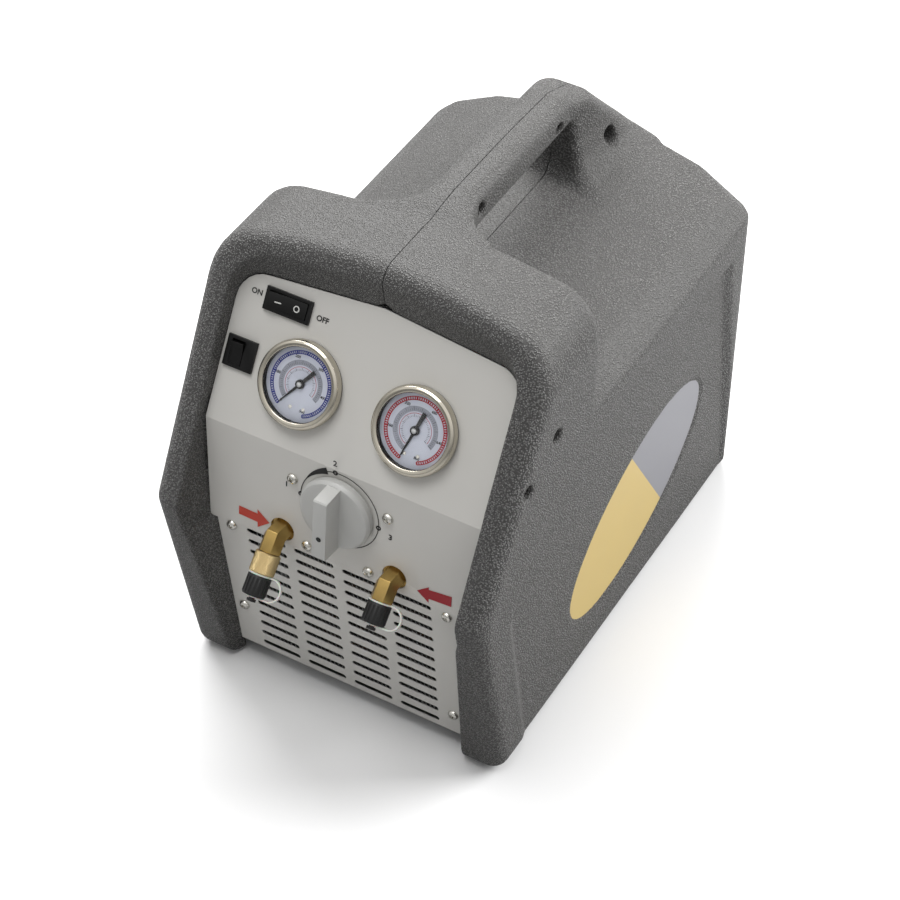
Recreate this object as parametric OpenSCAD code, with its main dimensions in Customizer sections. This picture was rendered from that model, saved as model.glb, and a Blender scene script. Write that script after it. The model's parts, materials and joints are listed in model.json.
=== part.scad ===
// Refrigerant recovery machine. Two moulded housing halves close round a folded steel
// front panel that carries the switch, breaker, gauges, selector valve and hose ports.
// Inside, on a base plate, are the condenser, fan, motor and compressor.
// X runs across, Y from the front to the rear, Z up. Lengths are in millimetres.

/* [Housing] */
// Width over the side faces
body_w = 250; // [246:1:262]
// Depth from the front knee to the rear face
body_d = 400; // [394:1:420]
// Height from the floor to the top of the handle
body_h = 360; // [354:1:372]
// Wall thickness of the moulded halves
wall = 3.5; // [2.8:0.1:4.5]
// Gap between the halves along the centre seam
seam_gap = 0.3; // [0.2:0.05:0.8]
// Height of the front knee above the floor
knee_z = 173; // [168:1:178]
// Lean of the front above the knee, from upright
front_lean = 28; // [26:0.5:30]
// How far the front of the feet stands behind the knee
foot_setback = 33; // [28:1:36]
// Rounding of the front edge of the frame
edge_r = 12; // [9:0.5:13]
// Radius of the hood's upper corners
corner_r = 38; // [32:1:42]
// Depth from the knee to the rear edge of the hood
hood_rear = 155; // [150:1:160]
// Height of the roof along the centre line
roof_z = 286; // [280:1:290]
// Drop of the crowned roof from its centre to its edge
roof_drop = 22; // [16:1:26]
// Half width of the roof at its edge
roof_half = 106; // [100:1:110]
// Height of the upper edge of the side faces
side_top = 252; // [246:1:256]
// Lean of the rear face, from upright
rear_lean = 1.2; // [0.8:0.2:2.4]
// Gap from the floor to the lower edge of the halves
floor_gap = 2; // [1:0.5:4]
// Depth of the shallow field in each side face
field_depth = 4; // [2:0.5:5]
// Depth of the oval recess in each side face
oval_depth = 1.6; // [0.6:0.2:2]

/* [Handle] */
// Width of the handle bar
bar_w = 35; // [30:1:40]
// Height of the handle bar
bar_h = 30; // [26:1:32]
// Depth from the knee to the front end of the hand gap
gap_front = 182; // [180:1:188]
// Depth from the knee to the rear end of the hand gap
gap_rear = 317; // [310:1:322]
// Diameter of the screw recesses in the bar
bar_recess_d = 9; // [8:0.5:11]
// Diameter of the screw recess in the rear leg
leg_recess_d = 13; // [11:0.5:14]

/* [Front panel] */
// Sheet thickness
sheet = 1.5; // [1:0.1:2]
// Gap between the panel and the housing
panel_gap = 0.4; // [0.3:0.1:1]
// Height of the lower edge of the panel
panel_low = 15; // [13:1:18]
// Depth from the knee to the lower edge of the panel
panel_low_y = 44; // [42:1:46]
// Height of the lower bend
bend_z = 149; // [147:1:151]
// Depth from the knee to the lower bend
bend_y = 30.5; // [29:0.5:32]
// Height of the upper bend
fold_z = 228; // [226:1:230]
// Depth from the knee to the upper bend
fold_y = 38; // [37:0.5:39]
// Lean of the panel above the upper bend
panel_lean = 30.5; // [29.5:0.5:31.5]
// Height of the top edge of the panel along the centre line
panel_top = 324; // [321:1:326]
// Length of a grille slot
slot_l = 30.6; // [26:0.2:32]
// Height of a grille slot
slot_h = 4.4; // [3:0.2:5]
// Pitch of the slot columns
slot_pitch_x = 37.3; // [36:0.1:38]
// Pitch of the slot rows
slot_pitch_z = 11.2; // [10.4:0.1:11.3]
// Rows of slots
slot_rows = 12; // [10:1:12]

/* [Gauges] */
// Outer diameter of the bezel
gauge_d = 59.4; // [58:0.2:64]
// Distance of each gauge's axis from the side face
gauge_in = 82.5; // [79:0.5:85]
// Height of the gauges above the upper bend, along the panel
gauge_s = 45; // [42:0.5:48]
// Depth of the gauge case behind the panel
gauge_depth = 28; // [22:1:30]

/* [Switches] */
// Width of the power switch
switch_w = 34.2; // [32:0.1:37]
// Height of the power switch
switch_h = 15.6; // [14:0.1:17]
// Width of the breaker
breaker_w = 21.8; // [20:0.1:24]
// Height of the breaker
breaker_h = 21; // [19:0.5:23]
// Half angle that a rocker tilts
rocker_tilt = 7; // [5:0.5:8]

/* [Valve] */
// Diameter of the knob's base
knob_d = 53; // [48:1:55]
// Height of the knob's base above the panel
knob_base_h = 9; // [7:0.5:11]
// Height of the grip's face above the panel
grip_h = 25.5; // [22:0.5:30]
// Thickness of the grip
grip_w = 10; // [8:0.5:12]
// Diameter of the valve stem
stem_d = 8; // [6:0.5:9]
// Depth of the manifold block
manifold_d = 38; // [32:1:44]

/* [Ports] */
// Distance of each port from the centre line
port_x = 43; // [41:0.5:45]
// Bend of the port fittings below the panel's normal
port_bend = 51; // [46:1:54]
// Size of the brass hexagon across its flats
hex_af = 14; // [13:0.5:15]
// Diameter of the knurled collar
collar_d = 17.5; // [16.5:0.5:19]
// Length of the knurled collar
collar_l = 14.4; // [12:0.2:17]
// Diameter of the dust caps
cap_d = 16.5; // [15.5:0.5:18]
// Length of the dust caps
cap_l = 14; // [12:0.5:16]
// Diameter of the threaded port ends
thread_d = 11.1; // [10.5:0.1:11.5]

/* [Cooling and drive] */
// Diameter of the fan
fan_d = 118; // [110:1:122]
// Blades on the fan
blades = 5; // [4:1:7]
// Height of the drive axis above the floor
axis_z = 78; // [76:1:82]
// Diameter of the motor can
motor_d = 96; // [90:1:102]
// Length of the motor can
motor_l = 104; // [96:1:108]
// Diameter of the motor shaft
shaft_d = 9; // [8:0.5:11]
// Pitch of the condenser fins
fin_pitch = 3.2; // [3:0.1:4]
// Diameter of the condenser tube
tube_d = 9; // [8:0.5:10]

/* [Hidden] */
$fn = 64;

fit = 0.1;
seat = 0.2;
half_w = body_w/2;
gauge_x = half_w - gauge_in;
hull_fn = 26;
shoulder_r = 6;
plan_r = 19;
bar_rise = 3;
hood_top = body_h - bar_rise;
crown_drop = 8;
hood_r = 12;
roof_r = 12;
bar_top_r = 9;
bar_low_r = 11;
corner_z = hood_top - crown_drop - corner_r;
bar_top = body_h;
bar_z = bar_top - bar_h/2;
frame_half = half_w - 20;
recess_half = half_w - 21;
recess_back = 50;
notch_z = bend_z - 4;
notch_back = frame_half - 8.2;
low_back = frame_half - 16.5;
sleeve = 10;
panel_corner_r = 20;
panel_arch = 7;
mid_lean = atan((fold_y - bend_y)/(fold_z - bend_z));
low_lean = -atan((panel_low_y - bend_y)/(bend_z - panel_low));
knob_s = 47.7;
port_s = 10.3;
stub_l = 9;
hex_l = 11;
neck_d = thread_d + 0.9;
collar_gap = 0.3;
ring_t = 1;
nub_l = 5;
inlet_cap_s = hex_l + collar_gap + collar_l + ring_t + 2*collar_gap;
outlet_cap_s = hex_l + ring_t + 2*collar_gap;
cap_reach = inlet_cap_s + cap_l;
port_dir = port_bend - mid_lean;
port_y = bend_y + port_s*sin(mid_lean) - stub_l*cos(mid_lean);
cap_front = port_y - cap_reach*cos(port_dir) - cap_d/2*sin(port_dir);
y_mid = (body_d + min(0, cap_front))/2;
plate_z = floor_gap + wall;
base_z = plate_z + seat;
plate_t = 2;
lip_in = field_depth + oval_depth + wall + 8;
plate_clear = 3.2;
plate_half = half_w - field_depth - oval_depth - wall - plate_clear;
floor_z = base_z + plate_t;
foot_x = half_w - 40;
foot_rows = [90, body_d - 50];
shroud_half = half_w - 49;
shroud_y = 84;
shroud_h = 136;
can_d = 40;
can_l = 74;
can_y = 236;
clamp_y = can_y + 26;
clamp_l = 14;
clamp_w = 52;
fan_y = 96;
motor_y = 132;
crank_y = motor_y + motor_l;
crank_l = 76;
crank_w = 72;
crank_h = 84;
cylinder_w = 50;
cylinder_h = 40;
head_h = 20;
core_half = half_w - 49;
core_y = 4;
core_d = 30;
core_top = -8;
core_low = -124;
tube_rows = 5;
frame_x = core_half + 3;
screw_x = half_w - 42;
rear_half = half_w - 35;
rear_low = 20;
rear_high = 226;
rear_sink = 1.8;

// Depth of the front plane's centre line at height z, for the rounded frame edge
function lean_y(z) = edge_r + (z - knee_z)*tan(front_lean);
// Depth of the rear face at height z
function rear_y(z) = body_d - (z - floor_gap)*tan(rear_lean);
// Height of the crowned roof at distance x from the centre
function roof_at(x) = roof_z - roof_drop*pow(x/roof_half, 2);
// Depth of the panel's front surface at height z
function panel_y(z) = z < bend_z ? bend_y + (bend_z - z)*tan(-low_lean)
    : z < fold_z ? bend_y + (z - bend_z)*tan(mid_lean)
    : fold_y + (z - fold_z)*tan(panel_lean);
// Half width of the front recess at depth y and height z, below the upper bend
function mid_back(z) = notch_back + (fold_back - notch_back)*(z - notch_z)/(fold_z - notch_z);
function recess_w(y, z) = frame_half - (frame_half - (z < notch_z ? low_back : mid_back(z)))*y/recess_back;
fold_back = frame_half - (frame_half - recess_half)*recess_back/fold_y;
// Lip above the panel and the ridge of the brow in front of it, measured on the upper flat
ridge_z = hood_top - 10;
ridge_y = lean_y(ridge_z) - edge_r/cos(front_lean);
lip_s = (panel_top - fold_z)/cos(panel_lean);
ridge_s = (ridge_y - fold_y)*sin(panel_lean) + (ridge_z - fold_z)*cos(panel_lean);
ridge_rise = (ridge_z - fold_z)*sin(panel_lean) - (ridge_y - fold_y)*cos(panel_lean);
// Crown of the hood, and its outline from the centre to the side, drawn in by t
function crown_at(x) = hood_top - crown_drop*pow(x/(half_w - corner_r), 2);
function hood_outline(t) = concat([for (i = [0:3]) let (x = (half_w - corner_r)*i/4) [x, crown_at(x) - t]],
    [for (a = [90:-15:0]) [half_w - corner_r + (corner_r - t)*cos(a), corner_z + (corner_r - t)*sin(a)]]);
// Points on a cubic curve from p to s
function curve(p, q, r, s, n = 14) = [for (i = [0:n]) let (t = i/n, u = 1 - t)
    u*u*u*p + 3*u*u*t*q + 3*u*t*t*r + t*t*t*s];
function unit(v) = v/norm(v);

// Stands the model on the middle of its footprint
module placed() translate([0, -y_mid, 0]) children();
// Frames on the three flats of the panel: Z up the sheet, -Y out of it
module on_upper(x, s) translate([x, fold_y, fold_z]) rotate([-panel_lean, 0, 0]) translate([0, 0, s])
    children();
module on_mid(x, s) translate([x, bend_y, bend_z]) rotate([-mid_lean, 0, 0]) translate([0, 0, s])
    children();
module on_low(x, s) translate([x, bend_y, bend_z]) rotate([-low_lean, 0, 0]) translate([0, 0, s])
    children();
module on_rear(x, z) translate([x, rear_y(z), z]) rotate([rear_lean, 0, 0]) children();
// Turns a frame so that Z points out of the panel and Y up the sheet
module facing() rotate([90, 0, 0]) children();
// Axis of a bent port fitting, Z along the thread
module port_axis(side) on_mid(side*port_x, port_s) facing() translate([0, 0, stub_l])
    rotate([port_bend, 0, 0]) children();
module both() {
    children();
    mirror([1, 0, 0]) children();
}
module across(len) rotate([0, 90, 0]) translate([0, 0, -len/2]) linear_extrude(len) rotate(90) children();
module ball(p, r) translate(p) sphere(r, $fn = hull_fn);
module tube_along(points, r, sides = 10) {
    n = len(points);
    dirs = [for (i = [0:n - 1]) unit(points[min(i + 1, n - 1)] - points[max(i - 1, 0)])];
    rings = [for (i = [0:n - 1]) let (a = unit(cross(dirs[i], abs(dirs[i].x) > 0.9 ? [0, 0, 1] :
        [1, 0, 0])), b = cross(dirs[i], a))
        for (k = [0:sides - 1]) points[i] + r*(a*cos(360*k/sides) + b*sin(360*k/sides))];
    walls = [for (i = [0:n - 2], k = [0:sides - 1])
        [i*sides + k, i*sides + (k + 1)%sides, (i + 1)*sides + (k + 1)%sides, (i + 1)*sides + k]];
    polyhedron(rings, concat([[for (k = [sides - 1:-1:0]) k]], walls,
        [[for (k = [0:sides - 1]) (n - 1)*sides + k]]));
}
module screw(head_d, head_h, d, l) {
    rotate_extrude() polygon([[0, 0], [head_d/2, 0], [head_d/2, head_h*0.45], [head_d*0.3, head_h],
        [0, head_h]]);
    translate([0, 0, -l]) cylinder(h = l, d = d);
}

// Moulded outer forms; t is how far inside the outer skin
module hood_form(t) hull() {
    both() {
        for (p = hood_outline(edge_r)) ball([p.x, lean_y(p.y), p.y], edge_r - t);
        ball([half_w - edge_r, edge_r, knee_z], edge_r - t);
        for (p = hood_outline(hood_r)) ball([p.x, hood_rear - hood_r, p.y], hood_r - t);
        ball([half_w - hood_r, hood_rear - hood_r, knee_z], hood_r - t);
    }
}
module body_form(t) hull() both() {
    ball([half_w - edge_r, edge_r, knee_z], edge_r - t);
    ball([half_w - edge_r, foot_setback + edge_r, floor_gap + edge_r], edge_r - t);
    ball([half_w - shoulder_r, lean_y(side_top), side_top - shoulder_r], shoulder_r - t);
    for (z = [floor_gap + shoulder_r, side_top - shoulder_r]) for (a = [0:30:90])
        ball([half_w - plan_r + (plan_r - shoulder_r)*cos(a), rear_y(z) - plan_r +
            (plan_r - shoulder_r)*sin(a), z], shoulder_r - t);
    for (i = [0:4]) let (x = (roof_half - shoulder_r/2)*i/4, z = roof_at(x), in = i == 4 ? plan_r*0.4 : 0) {
        ball([x, rear_y(z) - roof_r - in, z - roof_r], roof_r - t);
        ball([x, hood_rear - 40, z - shoulder_r], shoulder_r - t);
    }
}
// Slice across the handle bar, and level slice through its rear leg
module bar_slice(y, z_low, z_high, half) translate([0, y, 0]) rotate([90, 0, 0]) linear_extrude(0.4)
    hull() both() {
        translate([half - bar_low_r, z_low + bar_low_r]) circle(bar_low_r, $fn = hull_fn);
        translate([half - bar_top_r, z_high - bar_top_r]) circle(bar_top_r, $fn = hull_fn);
    }
module leg_slice(z, y_low, y_high, half) translate([0, 0, z]) linear_extrude(0.4) hull() both()
    for (y = [y_low + 9, y_high - 12]) translate([half - 9, y])
        circle(y < (y_low + y_high)/2 ? 9 : 12, $fn = hull_fn);
module loft_pair() hull() {
    children(0);
    children(1);
}
module handle_form() {
    half = bar_w/2;
    low = bar_top - bar_h;
    root = [[hood_rear - 8, low - 34, hood_top - 1, half + 34],
        [hood_rear + 1, low - 20, hood_top, half + 20],
        [hood_rear + 6, low - 11, hood_top + 1, half + 11],
            [hood_rear + 14, low - 4, hood_top + 2, half + 4],
        [gap_front, low, bar_top, half], [(gap_front + gap_rear)/2, low, bar_top - 1, half],
        [gap_rear - 10, low, bar_top - 4, half]];
    for (i = [0:len(root) - 2]) loft_pair() {
        bar_slice(root[i][0], root[i][1], root[i][2], root[i][3]);
        bar_slice(root[i + 1][0], root[i + 1][1], root[i + 1][2], root[i + 1][3]);
    }
    rear = rear_y(roof_z);
    leg = [[low + 14, gap_rear - 14, gap_rear + 22, half], [low - 2, gap_rear - 3, gap_rear + 38, half],
        [low - 18, gap_rear, gap_rear + 54, half + 1], [roof_z + 14, gap_rear - 1, rear - 12, half + 5],
        [roof_z + 6, gap_rear - 4, rear - 6, half + 10], [roof_z, gap_rear - 9, rear - 2, half + 18],
        [roof_z - 6, gap_rear - 18, rear, half + 32]];
    hull() {
        bar_slice(root[6][0], root[6][1], root[6][2], root[6][3]);
        leg_slice(leg[0][0], leg[0][1], leg[0][2], leg[0][3]);
    }
    for (i = [0:len(leg) - 2]) loft_pair() {
        leg_slice(leg[i][0], leg[i][1], leg[i][2], leg[i][3]);
        leg_slice(leg[i + 1][0], leg[i + 1][1], leg[i + 1][2], leg[i + 1][3]);
    }
}

// Front recess: outline round the upper flat, and the flared part below the upper bend
function brow_outline(half, top, r) = concat([[half, -40]],
    [for (a = [0:15:90]) [half - r + r*cos(a), top - panel_arch - r + r*sin(a)]], [[0, top]],
    [for (a = [90:15:180]) [-half + r + r*cos(a), top - panel_arch - r + r*sin(a)]], [[-half, -40]]);
module lip_outline(grow) polygon(brow_outline(recess_half + grow, lip_s + grow, panel_corner_r + grow));
module upper_recess(grow) on_upper(0, 0) facing() {
    translate([0, 0, -60]) linear_extrude(60) lip_outline(grow);
    hull() {
        translate([0, 0, -0.2]) linear_extrude(0.2) lip_outline(grow);
        translate([0, 0, ridge_rise]) linear_extrude(40)
            polygon(brow_outline(frame_half + grow, ridge_s + grow, 1.6*panel_corner_r + grow));
    }
}
module slab_outline(z_low, z_high, low, high) polygon([[low, z_low], [high, z_high], [-high, z_high],
    [-low, z_low]]);
module recess_slab(z_low, z_high, front, back_low, back_high) {
    hull() {
        translate([0, 0.2, 0]) rotate([90, 0, 0]) linear_extrude(60)
            slab_outline(z_low, z_high, front, front);
        translate([0, recess_back + 0.2, 0]) rotate([90, 0, 0]) linear_extrude(0.2)
            slab_outline(z_low, z_high, back_low, back_high);
    }
    translate([0, recess_back + 60, 0]) rotate([90, 0, 0]) linear_extrude(60)
        slab_outline(z_low, z_high, back_low, back_high);
}
module before_panel(back) across(2*body_w) polygon([[-60, -20], [panel_low_y + back, -20],
    [panel_low_y + back, panel_low], [bend_y + back, bend_z], [fold_y + back, fold_z],
    [panel_y(1.2*body_h) + back, 1.2*body_h], [-60, 1.2*body_h]]);
module recess(grow, back) intersection() {
    union() {
        upper_recess(grow);
        recess_slab(notch_z - grow, fold_z + 14, frame_half + grow, notch_back + grow,
            mid_back(fold_z + 14) + grow);
        recess_slab(-20, notch_z, frame_half + grow, low_back + grow, low_back + grow);
    }
    before_panel(back);
}
// Shallow field in a side face, inset by t, and the oval within it
module field_outline(t) offset(delta = -t) polygon([[foot_setback + 38, -20], [knee_z*0.24, knee_z - 40],
    [knee_z*0.226, knee_z - 24], [knee_z*0.31, knee_z + 4], [knee_z*0.48, side_top - 52],
        [hood_rear - 14, side_top - 11],
    [hood_rear + 30, side_top - 13], [body_d - 41, side_top - 26], [rear_y(34) - 9, 34],
        [rear_y(0) - 5, -20]]);
module field_back() translate([half_w - field_depth - oval_depth - wall, 0, 0]) rotate([90, 0, 90])
    linear_extrude(40) field_outline(-3);
module side_field() {
    hull() {
        translate([half_w + 0.2, 0, 0]) rotate([90, 0, 90]) linear_extrude(0.2) field_outline(0);
        translate([half_w - field_depth, 0, 0]) rotate([90, 0, 90]) linear_extrude(0.2) field_outline(9);
    }
    translate([half_w - field_depth - oval_depth, oval_y, oval_z]) rotate([oval_turn, 0, 0])
        rotate([90, 0, 90]) linear_extrude(field_depth) scale([oval_l/2, oval_h/2]) circle(1, $fn = 96);
}
oval_y = body_d*0.59;
oval_z = 94;
oval_l = 206;
oval_h = 106;
oval_turn = 18.3;
frame_recess_d = 10.6;
frame_boss_d = 16;
frame_sink = 13;
clear_d = 4.6;
frame_holes = [[lean_y(273) + 29.3, 273], [lean_y(254) + 3, 254]];
bar_holes = [[gap_front + 4, bar_z + 2], [gap_rear - 24, bar_z - 4]];
leg_hole = [gap_rear + 39, roof_z + 12];
module shell_body() difference() {
    union() {
        hood_form(0);
        body_form(0);
        handle_form();
    }
    difference() {
        union() {
            hood_form(wall);
            body_form(wall);
        }
        recess(wall, sheet + sleeve);
        translate([-body_w, -50, -10]) cube([2*body_w, 2*body_d, plate_z + 10]);
        both() {
            field_back();
            for (h = frame_holes) translate([half_w - frame_sink - 3, h.x, h.y])
                rotate([0, 90, 0]) cylinder(h = 30, d = frame_boss_d, $fn = 32);
        }
    }
    recess(0, 3*sleeve);
    translate([lip_in - half_w, panel_low_y + 5, -10])
        cube([body_w - 2*lip_in, body_d - panel_low_y - 25, 30]);
    on_rear(-rear_half, rear_low) translate([0, -20, 0]) cube([2*rear_half, 40, rear_high - rear_low]);
    both() {
        side_field();
        for (h = frame_holes) {
            translate([half_w - frame_sink, h.x, h.y]) rotate([0, 90, 0])
                cylinder(h = 30, d = frame_recess_d, $fn = 32);
            translate([half_w - 30, h.x, h.y]) rotate([0, 90, 0]) cylinder(h = 30, d = clear_d, $fn = 24);
        }
        for (z = [rear_low - 5, rear_high + 5]) on_rear(rear_half - 12, z) rotate([90, 0, 0]) {
            cylinder(h = 40, d = clear_d, center = true, $fn = 24);
            cylinder(h = 2*rear_sink, d = 9, center = true, $fn = 24);
        }
    }
    for (h = bar_holes) translate([0, h.x, h.y]) {
        translate([7, 0, 0]) rotate([0, 90, 0]) cylinder(h = 60, d = bar_recess_d, $fn = 32);
        translate([-12, 0, 0]) rotate([0, 90, 0]) cylinder(h = 60, d = 4.4, $fn = 24);
    }
    translate([0, leg_hole.x, leg_hole.y]) {
        translate([7, 0, 0]) rotate([0, 90, 0]) cylinder(h = 60, d = leg_recess_d, $fn = 40);
        translate([-12, 0, 0]) rotate([0, 90, 0]) cylinder(h = 60, d = 4.4, $fn = 24);
    }
}
module right_shell() color("#6b6966") placed() intersection() {
    shell_body();
    translate([seam_gap/2, -100, -10]) cube([body_w, 2*body_d, 2*body_h]);
}
module left_shell() color("#6b6966") placed() intersection() {
    shell_body();
    translate([-body_w - seam_gap/2, -100, -10]) cube([body_w, 2*body_d, 2*body_h]);
}

// Folded steel panel, band of the sheet seen from the side
function mitre(a, b) = sheet*[cos(a) + cos(b), -sin(a) - sin(b)]/(1 + cos(a - b));
module sheet_band() let (hi = panel_top + 20, line = [[panel_low_y, panel_low], [bend_y, bend_z],
    [fold_y, fold_z], [panel_y(hi), hi]]) across(2*body_w) polygon(concat(line, [
    line[3] + mitre(panel_lean, panel_lean), line[2] + mitre(panel_lean, mid_lean),
    line[1] + mitre(mid_lean, low_lean), line[0] + mitre(low_lean, low_lean)]));
module panel_outline() let (g = panel_gap, right = [[recess_w(panel_y(0), 0) - g, 0],
    [recess_w(panel_y(notch_z), notch_z - 1) - g, notch_z + g],
        [recess_w(panel_y(notch_z), notch_z) - g, notch_z + g],
    [recess_w(panel_y(fold_z), fold_z) - g, fold_z + 2]])
    polygon(concat(right, [for (i = [3:-1:0]) [-right[i].x, right[i].y]]));
module slot(l, h) rotate([90, 0, 0]) linear_extrude(40, center = true) {
    square([l - h, h], center = true);
    for (s = [-1, 1]) translate([s*(l - h)/2, 0]) circle(d = h);
}
switch_x = -65.4;
switch_s = 90.5;
breaker_in = 14.2;
breaker_x = breaker_in - recess_half;
breaker_s = 48.8;
low_screws = [[-screw_x, -5.4], [screw_x, -5.4], [-screw_x, -92.6], [screw_x, -114.5]];
mid_screws = [[-36, 57.3], [36, 57.3], [-23.5, 5.4], [23.5, 5.4]];
module drill(d) facing() cylinder(h = 40, d = d, center = true);
// Ear bent back from the upper flat, which takes the frame screws
module ear() let (x = recess_half - panel_gap - sheet - 0.4, low = fold_z + 10, high = fold_z + 56)
    translate([x, 0, 0]) rotate([90, 0, 90]) linear_extrude(sheet)
        polygon([[panel_y(low) + 1, low], [panel_y(high) + 1, high],
        [panel_y(high) + 30, high], [panel_y(low) + 40, low]]);
module front_panel() color("#bdbbb6") placed() difference() {
    union() {
        intersection() {
            sheet_band();
            union() {
                translate([0, 200, 0]) rotate([90, 0, 0]) linear_extrude(400) panel_outline();
                on_upper(0, 0) facing() translate([0, 0, -20]) linear_extrude(40) intersection() {
                    polygon(brow_outline(recess_half - panel_gap, lip_s - panel_gap, panel_corner_r));
                    translate([-body_w, 0]) square([2*body_w, body_h]);
                }
            }
        }
        both() ear();
    }
    both() for (h = frame_holes) translate([0, h.x, h.y]) rotate([0, 90, 0])
        cylinder(h = body_w, d = clear_d);
    for (i = [0:3]) for (k = [0:slot_rows - 1])
        on_low((i - 1.5)*slot_pitch_x, -4.4 - k*slot_pitch_z) slot(slot_l, slot_h);
    for (p = low_screws) on_low(p.x, p.y) drill(4.4);
    for (p = mid_screws) on_mid(p.x, p.y) drill(4.4);
    on_mid(0, knob_s) drill(stem_d + 4);
    for (s = [-1, 1]) on_mid(s*port_x, port_s) drill(hex_af*1.1547 + 2);
    for (s = [-1, 1]) on_upper(s*gauge_x, gauge_s) drill(gauge_d - 5);
    on_upper(switch_x, switch_s) cube([switch_w - 3, 40, switch_h - 2], center = true);
    on_upper(breaker_x, breaker_s) cube([breaker_w - 3, 40, breaker_h - 3], center = true);
}

// Rear panel behind the opening in the rear wall, with its vent slots
inlet_x = -55;
inlet_z = 50;
module rear_sheet() on_rear(0, rear_low) translate([-rear_half - 5, -wall - seat - sheet, -9])
    cube([2*rear_half + 10, sheet, rear_high - rear_low + 18]);
module rear_panel() color("#3b3a39") placed() difference() {
    rear_sheet();
    for (i = [-1, 1]) for (k = [0:10]) on_rear(i*42, 98 + k*10.8) slot(66, slot_h);
    on_rear(inlet_x, inlet_z) cube([29, 60, 22], center = true);
    for (x = [-1, 1]) for (z = [rear_low - 5, rear_high + 5]) on_rear(x*(rear_half - 12), z) drill(3.6);
    for (x = [-1, 1]) on_rear(inlet_x + 20*x, inlet_z) drill(3.4);
}
module base_plate() color("#8d8f90") placed() difference() {
    translate([0, 0, base_z]) linear_extrude(plate_t) union() {
        translate([-plate_half, 72]) square([2*plate_half, rear_y(plate_z) - 72 - wall - plan_r]);
        translate([plan_r - half_w, 100]) square([body_w - 2*plan_r, rear_y(floor_z) - 100 - wall - 2.4]);
        translate([-80, panel_low_y + 8]) square([160, 40]);
    }
    for (x = [-foot_x, foot_x]) for (y = foot_rows) translate([x, y, 0]) cylinder(h = 30, d = 8);
}
module rubber_feet() color("#1d1d1d") placed() for (x = [-foot_x, foot_x]) for (y = foot_rows)
    translate([x, y, 0]) {
    rotate_extrude() polygon([[0, 0], [10, 0], [11, 1], [12, base_z], [0, base_z]]);
    cylinder(h = floor_z + 2, d = 8 - 2*fit);
}

// Power switch and breaker
rocker_l = switch_w - 6;
rocker_h = switch_h - 4.6;
module switch_housing() color("#161616") placed() on_upper(switch_x, switch_s) facing() difference() {
    union() {
        translate([0, 0, 1.1]) cube([switch_w, switch_h, 2.2], center = true);
        translate([0, 0, -10]) cube([switch_w - 3.4, switch_h - 2.4, 20], center = true);
    }
    translate([0, 0, -3]) cube([rocker_l + 0.8, rocker_h + 0.6, 16], center = true);
    translate([0, 0, -1]) rotate([90, 0, 0]) cylinder(h = rocker_h + 2.6, d = 2.2, center = true);
}
module switch_rocker() color("#1b1b1b") placed() on_upper(switch_x, switch_s) facing()
    translate([0, 0, -1]) rotate([0, rocker_tilt, 0]) {
    rotate([90, 0, 0]) linear_extrude(rocker_h, center = true) polygon([[-rocker_l/2 + 0.4, 5.6], [0, 3.4],
        [rocker_l/2 - 0.4, 5.6], [rocker_l/2 - 0.6, -0.6], [5, -5], [-5, -5], [-rocker_l/2 + 0.6, -0.6]]);
    rotate([90, 0, 0]) cylinder(h = rocker_h + 2, d = 2, center = true);
}
button_w = breaker_w*0.42;
button_h = breaker_h - 5;
button_x = -breaker_w*0.11;
module breaker_housing() color("#161616") placed() on_upper(breaker_x, breaker_s) facing() difference() {
    union() {
        translate([0, 0, 1.2]) cube([breaker_w, breaker_h, 2.4], center = true);
        translate([0, 0, -12]) cube([breaker_w - 3.4, breaker_h - 3.4, 24], center = true);
    }
    translate([button_x, 0, -3]) cube([button_w + 0.6, button_h + 0.8, 16], center = true);
    translate([button_x, 0, -1]) rotate([0, 90, 0]) cylinder(h = button_w + 2.6, d = 2.2, center = true);
}
module breaker_button() color("#1b1b1b") placed() on_upper(breaker_x, breaker_s) facing()
    translate([button_x, 0, -1]) rotate([rocker_tilt, 0, 0]) {
    rotate([0, 90, 0]) rotate(90) linear_extrude(button_w, center = true)
        polygon([[-button_h/2 + 0.4, 4.8], [0, 3.6],
        [button_h/2 - 0.4, 4.8], [button_h/2 - 0.6, -0.6], [4, -5], [-4, -5], [-button_h/2 + 0.6, -0.6]]);
    rotate([0, 90, 0]) cylinder(h = button_w + 2, d = 2, center = true);
}

// Pressure gauges
gauge_r = gauge_d/2;
dial_r = gauge_r - 5;
module gauge(side) placed() on_upper(side*gauge_x, gauge_s) facing() children();
module gauge_case() {
    difference() {
        rotate_extrude() polygon([[0, -gauge_depth], [gauge_r - 3, -gauge_depth], [gauge_r - 3, 0],
            [gauge_r - 0.6, 0],
            [gauge_r - 0.6, 1.2], [gauge_r - 3.7, 1.2], [gauge_r - 3.7, 4.4], [dial_r + 0.2, 4.4],
                [dial_r + 0.2, 0.6],
            [dial_r - 1, 0.6], [dial_r - 1, 1 - gauge_depth], [6, 1 - gauge_depth], [6, -1], [0, -1]]);
        translate([0, 0, -9]) cylinder(h = 20, d = 2.2);
    }
    translate([0, 0, -gauge_depth - 9]) cylinder(h = 9, d = 10);
}
module gauge_bezel() rotate_extrude() polygon([[gauge_r - 3.6, 1.25], [gauge_r - 0.3, 1.25],
    [gauge_r, 2], [gauge_r, 5],
    [gauge_r - 0.8, 7], [gauge_r - 2.4, 8], [gauge_r - 4.6, 7.6], [gauge_r - 5.2, 6.3],
        [gauge_r - 3.6, 6.3]]);
module gauge_lens() translate([0, 0, 4.5]) cylinder(h = 1.7, r = gauge_r - 3.7);
module gauge_dial() difference() {
    translate([0, 0, 0.65]) cylinder(h = 0.8, r = dial_r);
    cylinder(h = 10, d = 3, center = true);
}
needle_rest = [233.4, 254.2];
needle_tail = 13;
needle_tip = dial_r - 5;
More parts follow.
